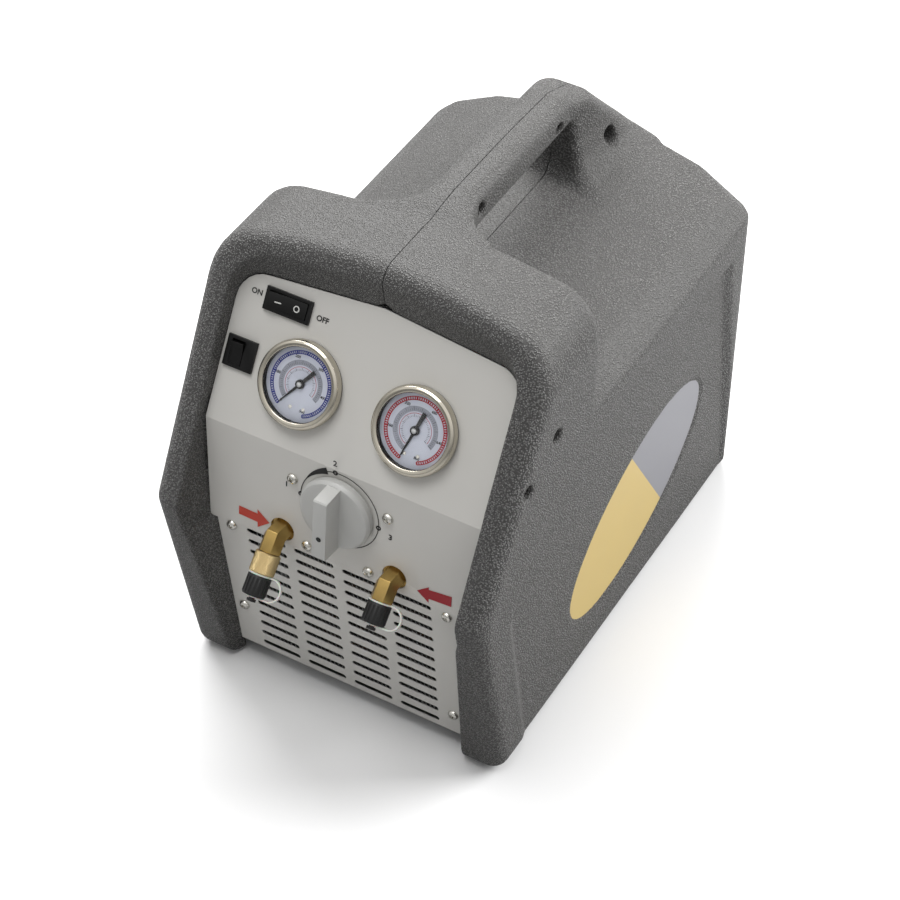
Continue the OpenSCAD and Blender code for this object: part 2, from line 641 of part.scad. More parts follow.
module gauge_needle(rest) rotate(rest) {
    translate([0, 0, 2]) linear_extrude(0.7) polygon([[-needle_tail, -1.5], [-needle_tail, 1.5], [-2, 1.1],
        [needle_tip, 0.25], [needle_tip, -0.25], [-2, -1.1]]);
    translate([0, 0, 1.7]) cylinder(h = 1.8, d = 6);
    translate([0, 0, -8]) cylinder(h = 10, d = 2);
}
module left_gauge_case() color("#2b2b2b") gauge(-1) gauge_case();
module left_gauge_bezel() color("#d9d6cf") gauge(-1) gauge_bezel();
module left_gauge_lens() color("#f4f8fa", 0.35) gauge(-1) gauge_lens();
module left_gauge_dial() color("#f2f2ee") gauge(-1) gauge_dial();
module left_needle() color("#161616") gauge(-1) gauge_needle(needle_rest[0]);
module right_gauge_case() color("#2b2b2b") gauge(1) gauge_case();
module right_gauge_bezel() color("#d9d6cf") gauge(1) gauge_bezel();
module right_gauge_lens() color("#f4f8fa", 0.35) gauge(1) gauge_lens();
module right_gauge_dial() color("#f2f2ee") gauge(1) gauge_dial();
module right_needle() color("#161616") gauge(1) gauge_needle(needle_rest[1]);

// Selector valve
module knob_axis() placed() on_mid(0, knob_s) facing() children();
module valve_knob() color("#c9c9c6") knob_axis() difference() {
    union() {
        rotate_extrude() polygon([[0, 1.2], [knob_d/2 - 0.6, 1.2], [knob_d/2, knob_base_h - 3],
            [knob_d/2 - 1.6, knob_base_h - 0.6],
            [knob_d/2 - 4, knob_base_h], [0, knob_base_h]]);
        translate([0, 0, knob_base_h - 1]) rotate([90, 0, 90]) linear_extrude(grip_w, center = true)
            polygon([[2 - knob_d/2, 0], [2.6 - knob_d/2, grip_h - knob_base_h],
                [3.6 - knob_d/2, grip_h - knob_base_h + 1],
                [knob_d/2 - 3.6, grip_h - knob_base_h + 1], [knob_d/2 - 2.6, grip_h - knob_base_h],
                    [knob_d/2 - 2, 0]]);
    }
    translate([0, 0, -1]) difference() {
        cylinder(h = 17, d = stem_d + 2*fit);
        translate([stem_d*0.32 + fit, -10, 0]) cube([10, 20, 40]);
    }
}
module valve_stem() color("#b9a15a") knob_axis() difference() {
    translate([0, 0, -26]) cylinder(h = 41, d = stem_d);
    translate([stem_d*0.32, -10, 0.5]) cube([10, 20, 40]);
}
manifold_w = 112;
manifold_low = 0.5;
manifold_high = 68;
module manifold_frame() placed() on_mid(0, 0) children();
module valve_manifold() color("#a9adb0") placed() difference() {
    on_mid(0, 0) translate([-manifold_w/2, sheet, manifold_low])
        cube([manifold_w, manifold_d, manifold_high - manifold_low]);
    on_mid(0, knob_s) facing() translate([0, 0, -28]) cylinder(h = 40, d = stem_d + 2*fit);
    for (s = [-1, 1]) on_mid(s*port_x, port_s) facing() translate([0, 0, -20])
        cylinder(h = 40, d = neck_d + 2*fit);
    for (p = mid_screws) on_mid(p.x, p.y) facing() translate([0, 0, -14]) cylinder(h = 40, d = 4);
}
module panel_screw() screw(8, 2.6, 3.8, 9);
module manifold_screws() color("#c8c6c0") placed() for (p = mid_screws) on_mid(p.x, p.y) facing()
    panel_screw();
module panel_screws() color("#c8c6c0") placed() for (p = low_screws) on_low(p.x, p.y) facing()
    panel_screw();

// Hose ports
module hex_bar(l) cylinder(h = l, d = hex_af/cos(30), $fn = 6);
module elbow(reach) {
    on = hex_af;
    difference() {
        translate([0, 0, -sheet]) hex_bar(stub_l + sheet + on);
        translate([0, 0, stub_l]) rotate([port_bend/2, 0, 0]) translate([-on, -2*on, 0])
            cube([2*on, 4*on, 3*on]);
    }
    translate([0, 0, -sheet - 16]) cylinder(h = 16, d = neck_d);
    translate([0, 0, stub_l]) difference() {
        rotate([port_bend, 0, 0]) {
            translate([0, 0, -on]) hex_bar(hex_l + on);
            cylinder(h = reach, d = thread_d);
        }
        rotate([port_bend/2, 0, 0]) translate([-on, -2*on, -3*on]) cube([2*on, 4*on, 3*on]);
        rotate([port_bend, 0, 0]) translate([0, 0, reach - 14]) cylinder(h = 20, d = 5);
    }
}
module inlet_elbow() color("#b08a3c") placed() on_mid(-port_x, port_s) facing()
    elbow(inlet_cap_s + cap_l - 4);
module outlet_elbow() color("#b08a3c") placed() on_mid(port_x, port_s) facing()
    elbow(outlet_cap_s + cap_l - 4);
module inlet_collar() color("#c9a55a") placed() port_axis(-1) translate([0, 0, hex_l + collar_gap])
    difference() {
    union() {
        cylinder(h = collar_l, d = collar_d - 1);
        for (a = [0:15:345]) rotate(a) translate([collar_d/2 - 1.2, -0.7, 1])
            cube([1.2, 1.4, collar_l - 2]);
    }
    translate([0, 0, -1]) cylinder(h = collar_l + 2, d = thread_d + 2*fit);
}
module dust_cap() difference() {
    union() {
        cylinder(h = cap_l, d = cap_d - 0.8);
        cylinder(h = 2, d = cap_d);
        for (a = [0:20:340]) rotate(a) translate([cap_d/2 - 1.2, -0.6, 1]) cube([1.2, 1.2, cap_l - 2]);
        translate([0, 0, cap_l - 1]) cylinder(h = nub_l, d = 4);
        translate([0, 0, cap_l + nub_l - 2.4]) cylinder(h = 1.6, d = 6.4);
    }
    translate([0, 0, -1]) cylinder(h = cap_l - 1.5, d = thread_d + 0.8);
}
module cap_strap() {
    span = cap_l + 0.4 + ring_t;
    difference() {
        translate([0, 0, -ring_t - collar_gap]) cylinder(h = ring_t, d = cap_d);
        translate([0, 0, -4]) cylinder(h = 8, d = thread_d + 0.8);
    }
    difference() {
        translate([0, 0, cap_l + 0.2]) cylinder(h = ring_t, d = 8.6);
        translate([0, 0, cap_l - 4]) cylinder(h = 12, d = 4.4);
    }
    rotate([90, 0, 0]) linear_extrude(2.6, center = true) {
        translate([3.6, cap_l + 0.2]) square([7, ring_t]);
        translate([7, -ring_t - collar_gap]) square([4, ring_t]);
        translate([10.4, (cap_l + 0.2 - collar_gap)/2]) difference() {
            circle(d = cap_l + 0.2 + collar_gap + 2*ring_t);
            circle(d = cap_l + 0.2 + collar_gap);
            translate([-40, -40]) square([40, 80]);
        }
    }
}
module inlet_cap() color("#151515") placed() port_axis(-1) translate([0, 0, inlet_cap_s]) dust_cap();
module outlet_cap() color("#151515") placed() port_axis(1) translate([0, 0, outlet_cap_s]) dust_cap();
module inlet_strap() color("#e9e8e2") placed() port_axis(-1) translate([0, 0, inlet_cap_s]) cap_strap();
module outlet_strap() color("#e9e8e2") placed() port_axis(1) translate([0, 0, outlet_cap_s]) cap_strap();

// Condenser behind the grille, parallel to the lower flat of the panel
tube_y = core_y + core_d/2;
tube_pitch = (core_top - core_low)/tube_rows;
function tube_s(i) = core_top - tube_pitch*(i + 0.5);
module tube_holes(d) for (i = [0:tube_rows - 1]) translate([tube_y, tube_s(i)]) circle(d = d);
module condenser_fins() color("#b7babb") placed() on_low(0, 0)
    for (i = [0:floor(2*core_half/fin_pitch)]) translate([i*fin_pitch - core_half, 0, 0])
        rotate([90, 0, 90]) linear_extrude(0.5) difference() {
        translate([core_y, core_low]) square([core_d, core_top - core_low]);
        tube_holes(tube_d + 2*fit);
    }
module condenser_tube() color("#b5713c") placed() on_low(0, 0) {
    for (i = [0:tube_rows - 1]) translate([-frame_x - 2, tube_y, tube_s(i)]) rotate([0, 90, 0])
        cylinder(h = 2*frame_x + 4, d = tube_d);
    for (i = [0:tube_rows - 2]) let (s = i%2 == 0 ? 1 : -1)
        translate([s*(frame_x + 2), tube_y, (tube_s(i) + tube_s(i + 1))/2])
        rotate([90, 0, 0]) rotate(s > 0 ? -90 : 90) rotate_extrude(angle = 180)
            translate([tube_pitch/2, 0]) circle(d = tube_d);
}
module condenser_frame() color("#8d8f90") placed() on_low(0, 0) both() difference() {
    union() {
        translate([frame_x - 1.5, sheet, core_low - 2])
            cube([1.5, core_y + core_d, core_top - core_low + 6]);
        translate([frame_x - 1.5, sheet, core_low - 2]) cube([9, 1.5, core_top - core_low + 6]);
    }
    translate([frame_x - 10, 0, 0]) rotate([90, 0, 90]) linear_extrude(40) tube_holes(tube_d + 2*fit);
    for (p = low_screws) if (p.x > 0) translate([p.x, 0, p.y]) drill(3.9);
    translate([screw_x, 0, low_screws[2].y]) drill(3.9);
}
module fan_shroud() color("#2a2a2a") placed() difference() {
    union() {
        translate([-shroud_half, shroud_y, floor_z]) cube([2*shroud_half, 2, shroud_h]);
        translate([-shroud_half, shroud_y, floor_z]) cube([2*shroud_half, 16, 2]);
        translate([0, shroud_y, axis_z]) rotate([-90, 0, 0]) cylinder(h = 22, d = fan_d + 10);
    }
    translate([0, shroud_y - 4, axis_z]) rotate([-90, 0, 0]) cylinder(h = 40, d = fan_d + 6);
}
module cooling_fan() color("#2f3234") placed() translate([0, fan_y, axis_z]) rotate([-90, 0, 0])
    difference() {
    union() {
        cylinder(h = 16, d = 34);
        for (i = [0:blades - 1]) rotate(i*360/blades) translate([0, 0, 8]) rotate([32, 0, 0])
            translate([12, -13, -0.9]) intersection() {
            cube([fan_d/2 - 13, 26, 1.8]);
            translate([-12, 13, -20]) cylinder(h = 40, d = fan_d - 2);
        }
    }
    translate([0, 0, -1]) cylinder(h = 30, d = shaft_d + 2*fit);
}
module motor_can() color("#3d4247") placed() translate([0, motor_y, axis_z]) rotate([-90, 0, 0])
    difference() {
    union() {
        rotate_extrude() polygon([[0, 0], [motor_d/2 - 8, 0], [motor_d/2 - 2, 4], [motor_d/2 - 2, 12],
            [motor_d/2, 12],
            [motor_d/2, motor_l - 12], [motor_d/2 - 2, motor_l - 12], [motor_d/2 - 2, motor_l],
                [0, motor_l]]);
        translate([0, 0, -6]) cylinder(h = 8, d = 26);
    }
    translate([0, 0, -20]) cylinder(h = motor_l + 40, d = shaft_d + 0.1);
}
module motor_shaft() color("#c9cbcd") placed() translate([0, fan_y - 4, axis_z]) rotate([-90, 0, 0])
    cylinder(h = crank_y + 30 - fan_y, d = shaft_d);
module motor_cradle() color("#6f7275") placed() difference() {
    union() {
        translate([-34, motor_y + 16, floor_z]) cube([68, 20, axis_z - floor_z - motor_d*0.36]);
        translate([-34, motor_y + motor_l - 36, floor_z]) cube([68, 20, axis_z - floor_z - motor_d*0.36]);
        translate([-34, motor_y + 16, floor_z]) cube([68, motor_l - 32, 3]);
    }
    translate([0, motor_y - 10, axis_z]) rotate([-90, 0, 0])
        cylinder(h = motor_l + 20, d = motor_d + 2*seat);
}
module crankcase() color("#9fa3a6") placed() difference() {
    union() {
        translate([-crank_w/2, crank_y, axis_z - crank_h/2]) cube([crank_w, crank_l, crank_h]);
        for (x = [-crank_w/2, crank_w/2 - 10]) translate([x, crank_y + 8, floor_z])
            cube([10, crank_l - 16, axis_z - crank_h/2 - floor_z]);
    }
    translate([0, crank_y - 10, axis_z]) rotate([-90, 0, 0]) cylinder(h = 50, d = shaft_d + 0.1);
}
cyl_z = axis_z + crank_h/2;
cyl_y = crank_y + crank_l/2;
module compressor_cylinder() color("#8f9396") placed() translate([0, cyl_y, cyl_z]) {
    cylinder(h = cylinder_h, d = cylinder_w - 12);
    for (i = [0:4]) translate([-cylinder_w/2, -cylinder_w/2, 4 + i*7]) cube([cylinder_w, cylinder_w, 3]);
    translate([-cylinder_w/2, -cylinder_w/2, 0]) cube([cylinder_w, cylinder_w, 2]);
}
head_z = cyl_z + cylinder_h;
module cylinder_head() color("#9fa3a6") placed() difference() {
    translate([-cylinder_w/2, cyl_y - cylinder_w/2, head_z]) cube([cylinder_w, cylinder_w, head_h]);
    for (x = [-12, 12]) translate([x, cyl_y - cylinder_w/2 - 1, head_z + head_h/2]) rotate([-90, 0, 0])
        cylinder(h = 9, d = 8);
    for (i = [-2:2]) translate([-40, cyl_y + i*9 - 2, head_z + head_h - 5]) cube([80, 4, 10]);
}
cap_x = half_w - 37;
cap_z = floor_z + 25;
module run_capacitor() color("#b9bcbf") placed() translate([cap_x, can_y, cap_z]) rotate([-90, 0, 0]) {
    cylinder(h = can_l, d = can_d);
    for (s = [-1, 1]) translate([s*8 - 3, -0.4, -8]) cube([6, 0.8, 8]);
}
module capacitor_clamp() color("#6f7275") placed() difference() {
    union() {
        translate([cap_x, clamp_y, cap_z]) rotate([-90, 0, 0]) cylinder(h = clamp_l, d = can_d + 3.4);
        translate([cap_x - clamp_w/2, clamp_y, floor_z]) cube([clamp_w, clamp_l, 4]);
    }
    translate([cap_x, can_y, cap_z]) rotate([-90, 0, 0]) cylinder(h = can_l, d = can_d + 2*fit);
}

// Refrigerant lines
manifold_back = sheet + manifold_d;
function mid_point(x, y, s) = [x, bend_y + y*cos(mid_lean) + s*sin(mid_lean), bend_z - y*sin(mid_lean) +
    s*cos(mid_lean)];
function low_point(x, y, s) = [x, bend_y + y*cos(low_lean) + s*sin(low_lean), bend_z - y*sin(low_lean) +
    s*cos(low_lean)];
function up_point(x, y, s) = [x, fold_y + y*cos(panel_lean) + s*sin(panel_lean), fold_z -
    y*sin(panel_lean) + s*cos(panel_lean)];
module pressure_switch() color("#b9bcbf") manifold_frame() translate([0, manifold_back + seat, 20])
    rotate([-90, 0, 0]) {
    cylinder(h = 8, d = 18, $fn = 6);
    translate([0, 0, 8]) cylinder(h = 16, d = 16);
    for (s = [-1, 1]) translate([s*4 - 1.5, -0.4, 24]) cube([3, 0.8, 8]);
}
module capillary(side) let (p = up_point(side*gauge_x, gauge_depth + 9 + seat, gauge_s), s =
    mid_point(side*gauge_x, manifold_back + seat, 52),
    back = [0, cos(panel_lean), -sin(panel_lean)]) placed()
        tube_along(curve(p, p + 26*back, s + [0, 34, 0], s), 2.4);
module left_capillary() color("#b5713c") capillary(-1);
module right_capillary() color("#b5713c") capillary(1);
head_front = cyl_y - cylinder_w/2;
module suction_pipe() color("#b5713c") placed() let
    (p = mid_point(-20, manifold_back + seat, 42), s = [-12, head_front + 6, head_z + head_h/2])
    tube_along(curve(p, p + [0, 70, 0], s - [0, 60, 0], s), 3.6);
module discharge_pipe() color("#b5713c") placed() let
    (p = [12, head_front + 6, head_z + head_h/2], s =
        low_point(frame_x + 2 + seat, tube_y, tube_s(tube_rows - 1)))
    tube_along(curve(p, p - [0, 150, 0], s + [60, 0, 0], s, 22), 3.6);
module liquid_pipe() color("#b5713c") placed() let (p =
    low_point(-frame_x - 2 - seat, tube_y, tube_s(0)), s =
        mid_point(-manifold_w/2 - seat, manifold_d*0.6, 30))
    tube_along(curve(p, p - [22, 0, 0], s - [28, 0, 0], s), 3.6);

// Mains inlet in the rear panel
module power_inlet() color("#1a1a1a") placed() on_rear(inlet_x, inlet_z) translate([0, -wall - seat, 0])
    difference() {
    union() {
        translate([-25, 0, -13]) cube([50, 2.4, 26]);
        translate([-14, -24, -10.5]) cube([28, 24, 21]);
    }
    translate([-12, -18, -8]) cube([24, 30, 16]);
    for (x = [-20, 20]) translate([x, 0, 0]) drill(3.4);
    for (x = [-7, 0, 7]) translate([x - 1.1, -30, x == 0 ? 0 : -4]) cube([2.2, 20, 4.4]);
}
module inlet_pins() color("#d2cfc4") placed() on_rear(inlet_x, inlet_z) translate([0, -wall - seat, 0])
    for (x = [-7, 0, 7]) translate([x - 1, -30, x == 0 ? 0.2 : -3.8]) cube([2, 20, 4]);

// Fasteners that join the housing
module shell_screws() color("#c8c6c0") placed() {
    for (h = concat(bar_holes, [leg_hole])) translate([7 + fit, h.x, h.y]) rotate([0, 90, 0])
        screw(7.6, 3, 4, 17);
}
module frame_screws() color("#c8c6c0") placed() both() for (h = frame_holes)
    translate([half_w - frame_sink + fit, h.x, h.y])
    rotate([0, 90, 0]) screw(8, 2.6, 4.2, 13);
module rear_screws() color("#2a2a2a") placed() for (x = [-1, 1]) for (z = [rear_low - 5, rear_high + 5])
    on_rear(x*(rear_half - 12), z) rotate([-90, 0, 0]) translate([0, 0, fit - rear_sink])
        screw(8, rear_sink - 2*fit, 3.4, 9);

right_shell();
left_shell();
front_panel();
rear_panel();
base_plate();
rubber_feet();
switch_housing();
switch_rocker();
breaker_housing();
breaker_button();
left_gauge_case();
left_gauge_bezel();
left_gauge_lens();
left_gauge_dial();
left_needle();
right_gauge_case();
right_gauge_bezel();
right_gauge_lens();
right_gauge_dial();
right_needle();
valve_knob();
valve_stem();
valve_manifold();
manifold_screws();
panel_screws();
inlet_elbow();
inlet_collar();
inlet_cap();
inlet_strap();
outlet_elbow();
outlet_cap();
outlet_strap();
condenser_fins();
condenser_tube();
condenser_frame();
fan_shroud();
cooling_fan();
motor_can();
motor_shaft();
motor_cradle();
crankcase();
compressor_cylinder();
cylinder_head();
run_capacitor();
capacitor_clamp();
pressure_switch();
left_capillary();
right_capillary();
suction_pipe();
discharge_pipe();
liquid_pipe();
power_inlet();
inlet_pins();
shell_screws();
frame_screws();
rear_screws();
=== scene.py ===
"""Looks of the refrigerant recovery machine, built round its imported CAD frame.

Lengths in the tables below are millimetres, and MM turns them into metres.
X runs across, Y from the front to the rear, Z up.
"""
import json
import math

import bmesh
import bpy
from mathutils import Matrix, Vector

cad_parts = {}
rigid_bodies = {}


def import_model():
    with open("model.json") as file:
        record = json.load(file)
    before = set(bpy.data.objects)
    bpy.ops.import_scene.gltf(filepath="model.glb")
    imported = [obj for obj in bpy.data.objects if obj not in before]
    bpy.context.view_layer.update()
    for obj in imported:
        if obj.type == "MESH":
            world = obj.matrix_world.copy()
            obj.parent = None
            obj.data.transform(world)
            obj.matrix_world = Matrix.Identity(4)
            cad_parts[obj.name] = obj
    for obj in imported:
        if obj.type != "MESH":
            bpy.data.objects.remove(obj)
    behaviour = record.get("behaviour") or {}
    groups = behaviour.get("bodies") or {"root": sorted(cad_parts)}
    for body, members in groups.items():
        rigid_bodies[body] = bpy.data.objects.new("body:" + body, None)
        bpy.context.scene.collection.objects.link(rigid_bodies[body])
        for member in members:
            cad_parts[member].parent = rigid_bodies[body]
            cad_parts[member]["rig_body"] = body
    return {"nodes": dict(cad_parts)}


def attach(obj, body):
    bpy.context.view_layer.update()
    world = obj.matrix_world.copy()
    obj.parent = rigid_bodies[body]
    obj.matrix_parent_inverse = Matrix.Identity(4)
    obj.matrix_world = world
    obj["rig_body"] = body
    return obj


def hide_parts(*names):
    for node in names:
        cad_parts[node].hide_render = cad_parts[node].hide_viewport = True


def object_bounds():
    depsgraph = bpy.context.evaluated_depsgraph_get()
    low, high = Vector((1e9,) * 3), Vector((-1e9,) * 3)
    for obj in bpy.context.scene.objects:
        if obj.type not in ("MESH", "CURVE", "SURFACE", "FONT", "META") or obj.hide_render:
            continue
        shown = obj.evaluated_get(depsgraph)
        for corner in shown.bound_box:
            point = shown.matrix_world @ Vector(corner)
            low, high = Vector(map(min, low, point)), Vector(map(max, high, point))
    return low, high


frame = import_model()
cad_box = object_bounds()
scene = bpy.context.scene
nodes = frame["nodes"]
MM = 0.001
DEPTH = 400.0
KNEE_Y = cad_box[1].y - DEPTH*MM


# Places on the machine

def flat(y, z, lean):
    """Frame on a flat of the panel: X across, Y up the sheet, Z out of it."""
    turn = Matrix.Rotation(math.radians(90 - lean), 4, "X")
    return Matrix.Translation((0, KNEE_Y + y*MM, z*MM)) @ turn


UPPER = flat(38, 228, 30.5)
MIDDLE = flat(30.5, 149, 5.423)
LOWER = flat(30.5, 149, -5.753)


def at(place, x, s, h=0.0):
    """A place x across, s up the sheet and h out of it."""
    return place @ Matrix.Translation((x*MM, s*MM, h*MM))


def about(axis, degrees):
    return Matrix.Rotation(math.radians(degrees), 4, axis)


GAUGE_X = 42.5
GAUGE_S = 45.0
LEFT_GAUGE = at(UPPER, -GAUGE_X, GAUGE_S)
RIGHT_GAUGE = at(UPPER, GAUGE_X, GAUGE_S)
KNOB = at(MIDDLE, 0, 47.7)
SWITCH = at(UPPER, -65.4, 90.5)
BREAKER = at(UPPER, -89.8, 48.8)
INLET = at(MIDDLE, -43, 10.3, 9) @ about("X", 51)
OUTLET = at(MIDDLE, 43, 10.3, 9) @ about("X", 51)


# Materials

def rgb(code):
    """Linear colour of an sRGB hex value."""
    parts = [int(code[i:i + 2], 16)/255 for i in (1, 3, 5)]
    return [c/12.92 if c <= 0.04045 else ((c + 0.055)/1.055)**2.4 for c in parts] + [1.0]


def add(tree, kind, settings=None, links=None):
    """Adds a node. Settings go to its sockets or properties, links come from other sockets."""
    made = tree.nodes.new("ShaderNode" + kind)
    for key, value in (settings or {}).items():
        if isinstance(key, int) or key in made.inputs:
            made.inputs[key].default_value = value
        else:
            setattr(made, key, value)
    for key, socket in (links or {}).items():
        tree.links.new(socket, made.inputs[key])
    return made


def blank(name):
    """A new material with its tree, Principled shader and object coordinates."""
    material = bpy.data.materials.new(name)
    material.use_nodes = True
    tree = material.node_tree
    shader = tree.nodes["Principled BSDF"]
    place = add(tree, "TexCoord").outputs["Object"]
    return material, tree, shader, place


def per_mm(size):
    """Texture scale that repeats about every size millimetres."""
    return 1/(size*MM)


def finish(name, tint, rough, mottle=0.06, mottle_mm=20.0, grit_mm=0.5, grit=0.1, grit_depth=0.05,
           rough_spread=0.08, **sockets):
    """Material with a slightly uneven colour and gloss over a fine grit, as made surfaces have."""
    material, tree, shader, place = blank(name)
    cloud = add(tree, "TexNoise", {"Scale": per_mm(mottle_mm), "Detail": 3.0}, {"Vector": place})
    dark = [c*(1 - mottle) for c in rgb(tint)[:3]] + [1.0]
    pale = [min(1.0, c*(1 + mottle)) for c in rgb(tint)[:3]] + [1.0]
    ramp = add(tree, "Mix", {"data_type": "RGBA", 6: dark, 7: pale}, {0: cloud.outputs[0]})
    tree.links.new(ramp.outputs[2], shader.inputs["Base Color"])
    spread = add(tree, "MapRange", {"To Min": rough - rough_spread/2, "To Max": rough + rough_spread/2},
                 {"Value": cloud.outputs[0]})
    tree.links.new(spread.outputs[0], shader.inputs["Roughness"])
    if grit:
        fine = add(tree, "TexNoise", {"Scale": per_mm(grit_mm), "Detail": 2.0}, {"Vector": place})
        bump = add(tree, "Bump", {"Strength": grit, "Distance": grit_depth*MM}, {"Height": fine.outputs[0]})
        tree.links.new(bump.outputs[0], shader.inputs["Normal"])
    for key, value in sockets.items():
        shader.inputs[key.replace("_", " ")].default_value = value
    return material


def pebbled_abs():
    """Moulded ABS with a pebble grain eaten into the mould: small crowded domes, faintly shiny on their
    crowns, with painted shade in the valleys and a painted highlight on the crowns, so that the grain shows
    most where light grazes it."""
    material, tree, shader, place = blank("moulded ABS, pebble grain with painted shade and highlight")
    wander = add(tree, "TexNoise", {"Scale": per_mm(1.8), "Detail": 1.0}, {"Vector": place})
    shift = add(tree, "VectorMath", {"operation": "SCALE", "Scale": 0.9*MM}, {0: wander.outputs["Color"]})
    bent = add(tree, "VectorMath", {"operation": "ADD"}, {0: place, 1: shift.outputs[0]})
    domes = add(tree, "TexVoronoi", {"feature": "F1", "Scale": per_mm(1.3)}, {"Vector": bent.outputs[0]})
    crown = add(tree, "MapRange", {"From Min": 0.08, "From Max": 0.6, "To Min": 1.0, "To Max": 0.0},
                {"Value": domes.outputs["Distance"]})
    cloud = add(tree, "TexNoise", {"Scale": per_mm(45), "Detail": 2.0}, {"Vector": place})
    # Painted shade and highlight: the colour runs from dark in the valleys between the domes to pale on their
    # crowns
    tint = add(tree, "Mix", {"data_type": "RGBA", 6: rgb("#474645"), 7: rgb("#999896")},
               {0: crown.outputs[0]})
    uneven = add(tree, "Mix", {"data_type": "RGBA", "blend_type": "MULTIPLY", 0: 0.1},
                 {6: tint.outputs[2], 7: cloud.outputs[0]})
    tree.links.new(uneven.outputs[2], shader.inputs["Base Color"])
    gloss = add(tree, "MapRange", {"To Min": 0.55, "To Max": 0.32}, {"Value": crown.outputs[0]})
    tree.links.new(gloss.outputs[0], shader.inputs["Roughness"])
    bump = add(tree, "Bump", {"Strength": 1.0, "Distance": 1.1*MM}, {"Height": crown.outputs[0]})
    tree.links.new(bump.outputs[0], shader.inputs["Normal"])
    shader.inputs["IOR"].default_value = 1.53
    shader.inputs["Specular IOR Level"].default_value = 0.45
    return material


ABS = pebbled_abs()
# Powder-coated steel: even pale grey with the faint orange peel of the baked powder
PAINT = finish("powder coated steel, pale grey", "#d8d6d1", 0.42, 0.02, 60, 0.9, 0.12, 0.06)
# The same coating in dark grey on the rear sheet
DARK_PAINT = finish("powder coated steel, dark grey", "#3b3a39", 0.5, 0.06, 40, 0.9, 0.25, 0.08)
# Galvanised sheet: dull metal with a cloudy spangle
GALVANISED = finish("galvanised steel", "#9b9d9e", 0.42, 0.14, 9, 0.4, 0.1, 0.03, 0.16, Metallic=1.0)
# Rubber feet: black, matt and a little dusty
RUBBER = finish("moulded rubber", "#1c1c1c", 0.82, 0.15, 8, 0.5, 0.3, 0.06)
# Switch bodies are glass-filled nylon with a polished face
GLOSS_BLACK = finish("polished black nylon", "#0b0b0b", 0.34, 0.1, 12, 0.6, 0.06, 0.02, 0.06,
                     Specular_IOR_Level=0.3)
BLACK = finish("moulded black polypropylene", "#171717", 0.5, 0.12, 6, 0.35, 0.2, 0.04)
# Gauge rings are rolled stainless, polished so that they mirror the room, with a warm cast
STAINLESS = finish("polished stainless steel", "#c2bcae", 0.12, 0.03, 15, 0.5, 0.02, 0.01, 0.05,
                   Metallic=1.0)
# Clear acrylic lens, with a low index so that the print under it stays where it is
ACRYLIC = finish("clear acrylic", "#ffffff", 0.02, 0.0, 20, 0.5, 0.0, 0.0, 0.01, IOR=1.2,
                 Transmission_Weight=1.0)
# Dials are printed tin, pale grey with a cold cast
DIAL = finish("pale grey lacquered dial", "#bcc0cc", 0.5, 0.02, 10, 0.4, 0.05, 0.02)
LIGHT_ABS = finish("moulded ABS, light grey", "#c2c2bf", 0.38, 0.03, 14, 0.7, 0.12, 0.04)
# Brass: the elbows are dull from handling, the knurled collar is freshly cut
BRASS = finish("drawn brass", "#b0945a", 0.36, 0.14, 5, 0.3, 0.12, 0.04, 0.16, Metallic=1.0)
BRASS_CUT = finish("knurled brass", "#d4bd8c", 0.38, 0.08, 4, 0.3, 0.12, 0.04, 0.12, Metallic=1.0)
# Straps are thin polythene that lets some light through
POLYTHENE = finish("milky polythene", "#e9e8e2", 0.4, 0.03, 6, 0.5, 0.06, 0.03, Subsurface_Weight=0.4,
                   Subsurface_Scale=0.002)
ALUMINIUM = finish("rolled aluminium", "#b9bcbd", 0.36, 0.08, 8, 0.3, 0.12, 0.03, 0.14, Metallic=1.0)
COPPER = finish("drawn copper tube", "#b5713c", 0.34, 0.16, 7, 0.4, 0.1, 0.03, 0.16, Metallic=1.0)
MOTOR_PAINT = finish("sprayed motor enamel", "#3d4247", 0.45, 0.08, 25, 1.2, 0.2, 0.06)
STEEL = finish("turned steel", "#c3c4c4", 0.3, 0.08, 6, 0.3, 0.1, 0.03, 0.12, Metallic=1.0)
# Zinc plated screws have a bright, clear passivation
ZINC = finish("zinc plated steel", "#d3d1ca", 0.26, 0.1, 3, 0.3, 0.08, 0.03, 0.14, Metallic=1.0)
DARK_GREY_INK = finish("dark grey screen print", "#5c5e67", 0.5, 0.04, 5, 0.3, 0.1, 0.02)
BLACK_INK = finish("black screen print", "#121212", 0.6, 0.08, 4, 0.3, 0.1, 0.02)
WHITE_INK = finish("white screen print", "#e6e6e2", 0.5, 0.04, 4, 0.3, 0.1, 0.02)
ORANGE_INK = finish("orange red screen print", "#c63a22", 0.5, 0.06, 5, 0.3, 0.1, 0.02)
RED_INK = finish("red screen print", "#a01020", 0.5, 0.06, 5, 0.3, 0.1, 0.02)
BLUE_INK = finish("blue screen print", "#18277c", 0.5, 0.06, 5, 0.3, 0.1, 0.02)
GREY_INK = finish("grey screen print", "#8a8d97", 0.5, 0.04, 5, 0.3, 0.1, 0.02)
# Side label: plain vinyl film with a satin face
YELLOW_FILM = finish("yellow vinyl film", "#cfb674", 0.36, 0.04, 30, 0.8, 0.05, 0.03)
GREY_FILM = finish("grey vinyl film", "#8b8b91", 0.34, 0.04, 30, 0.8, 0.05, 0.03)


# Making pieces

def piece(name, bm, material, body="housing", stands_for=(), place=None, smooth=32):
    """Turns a bmesh into an object that rides on a body, and takes the bmesh."""
    if place is not None:
        bm.transform(place)
    mesh = bpy.data.meshes.new(name)
    bm.to_mesh(mesh)
    bm.free()
    return from_mesh(name, mesh, material, body, stands_for, smooth)


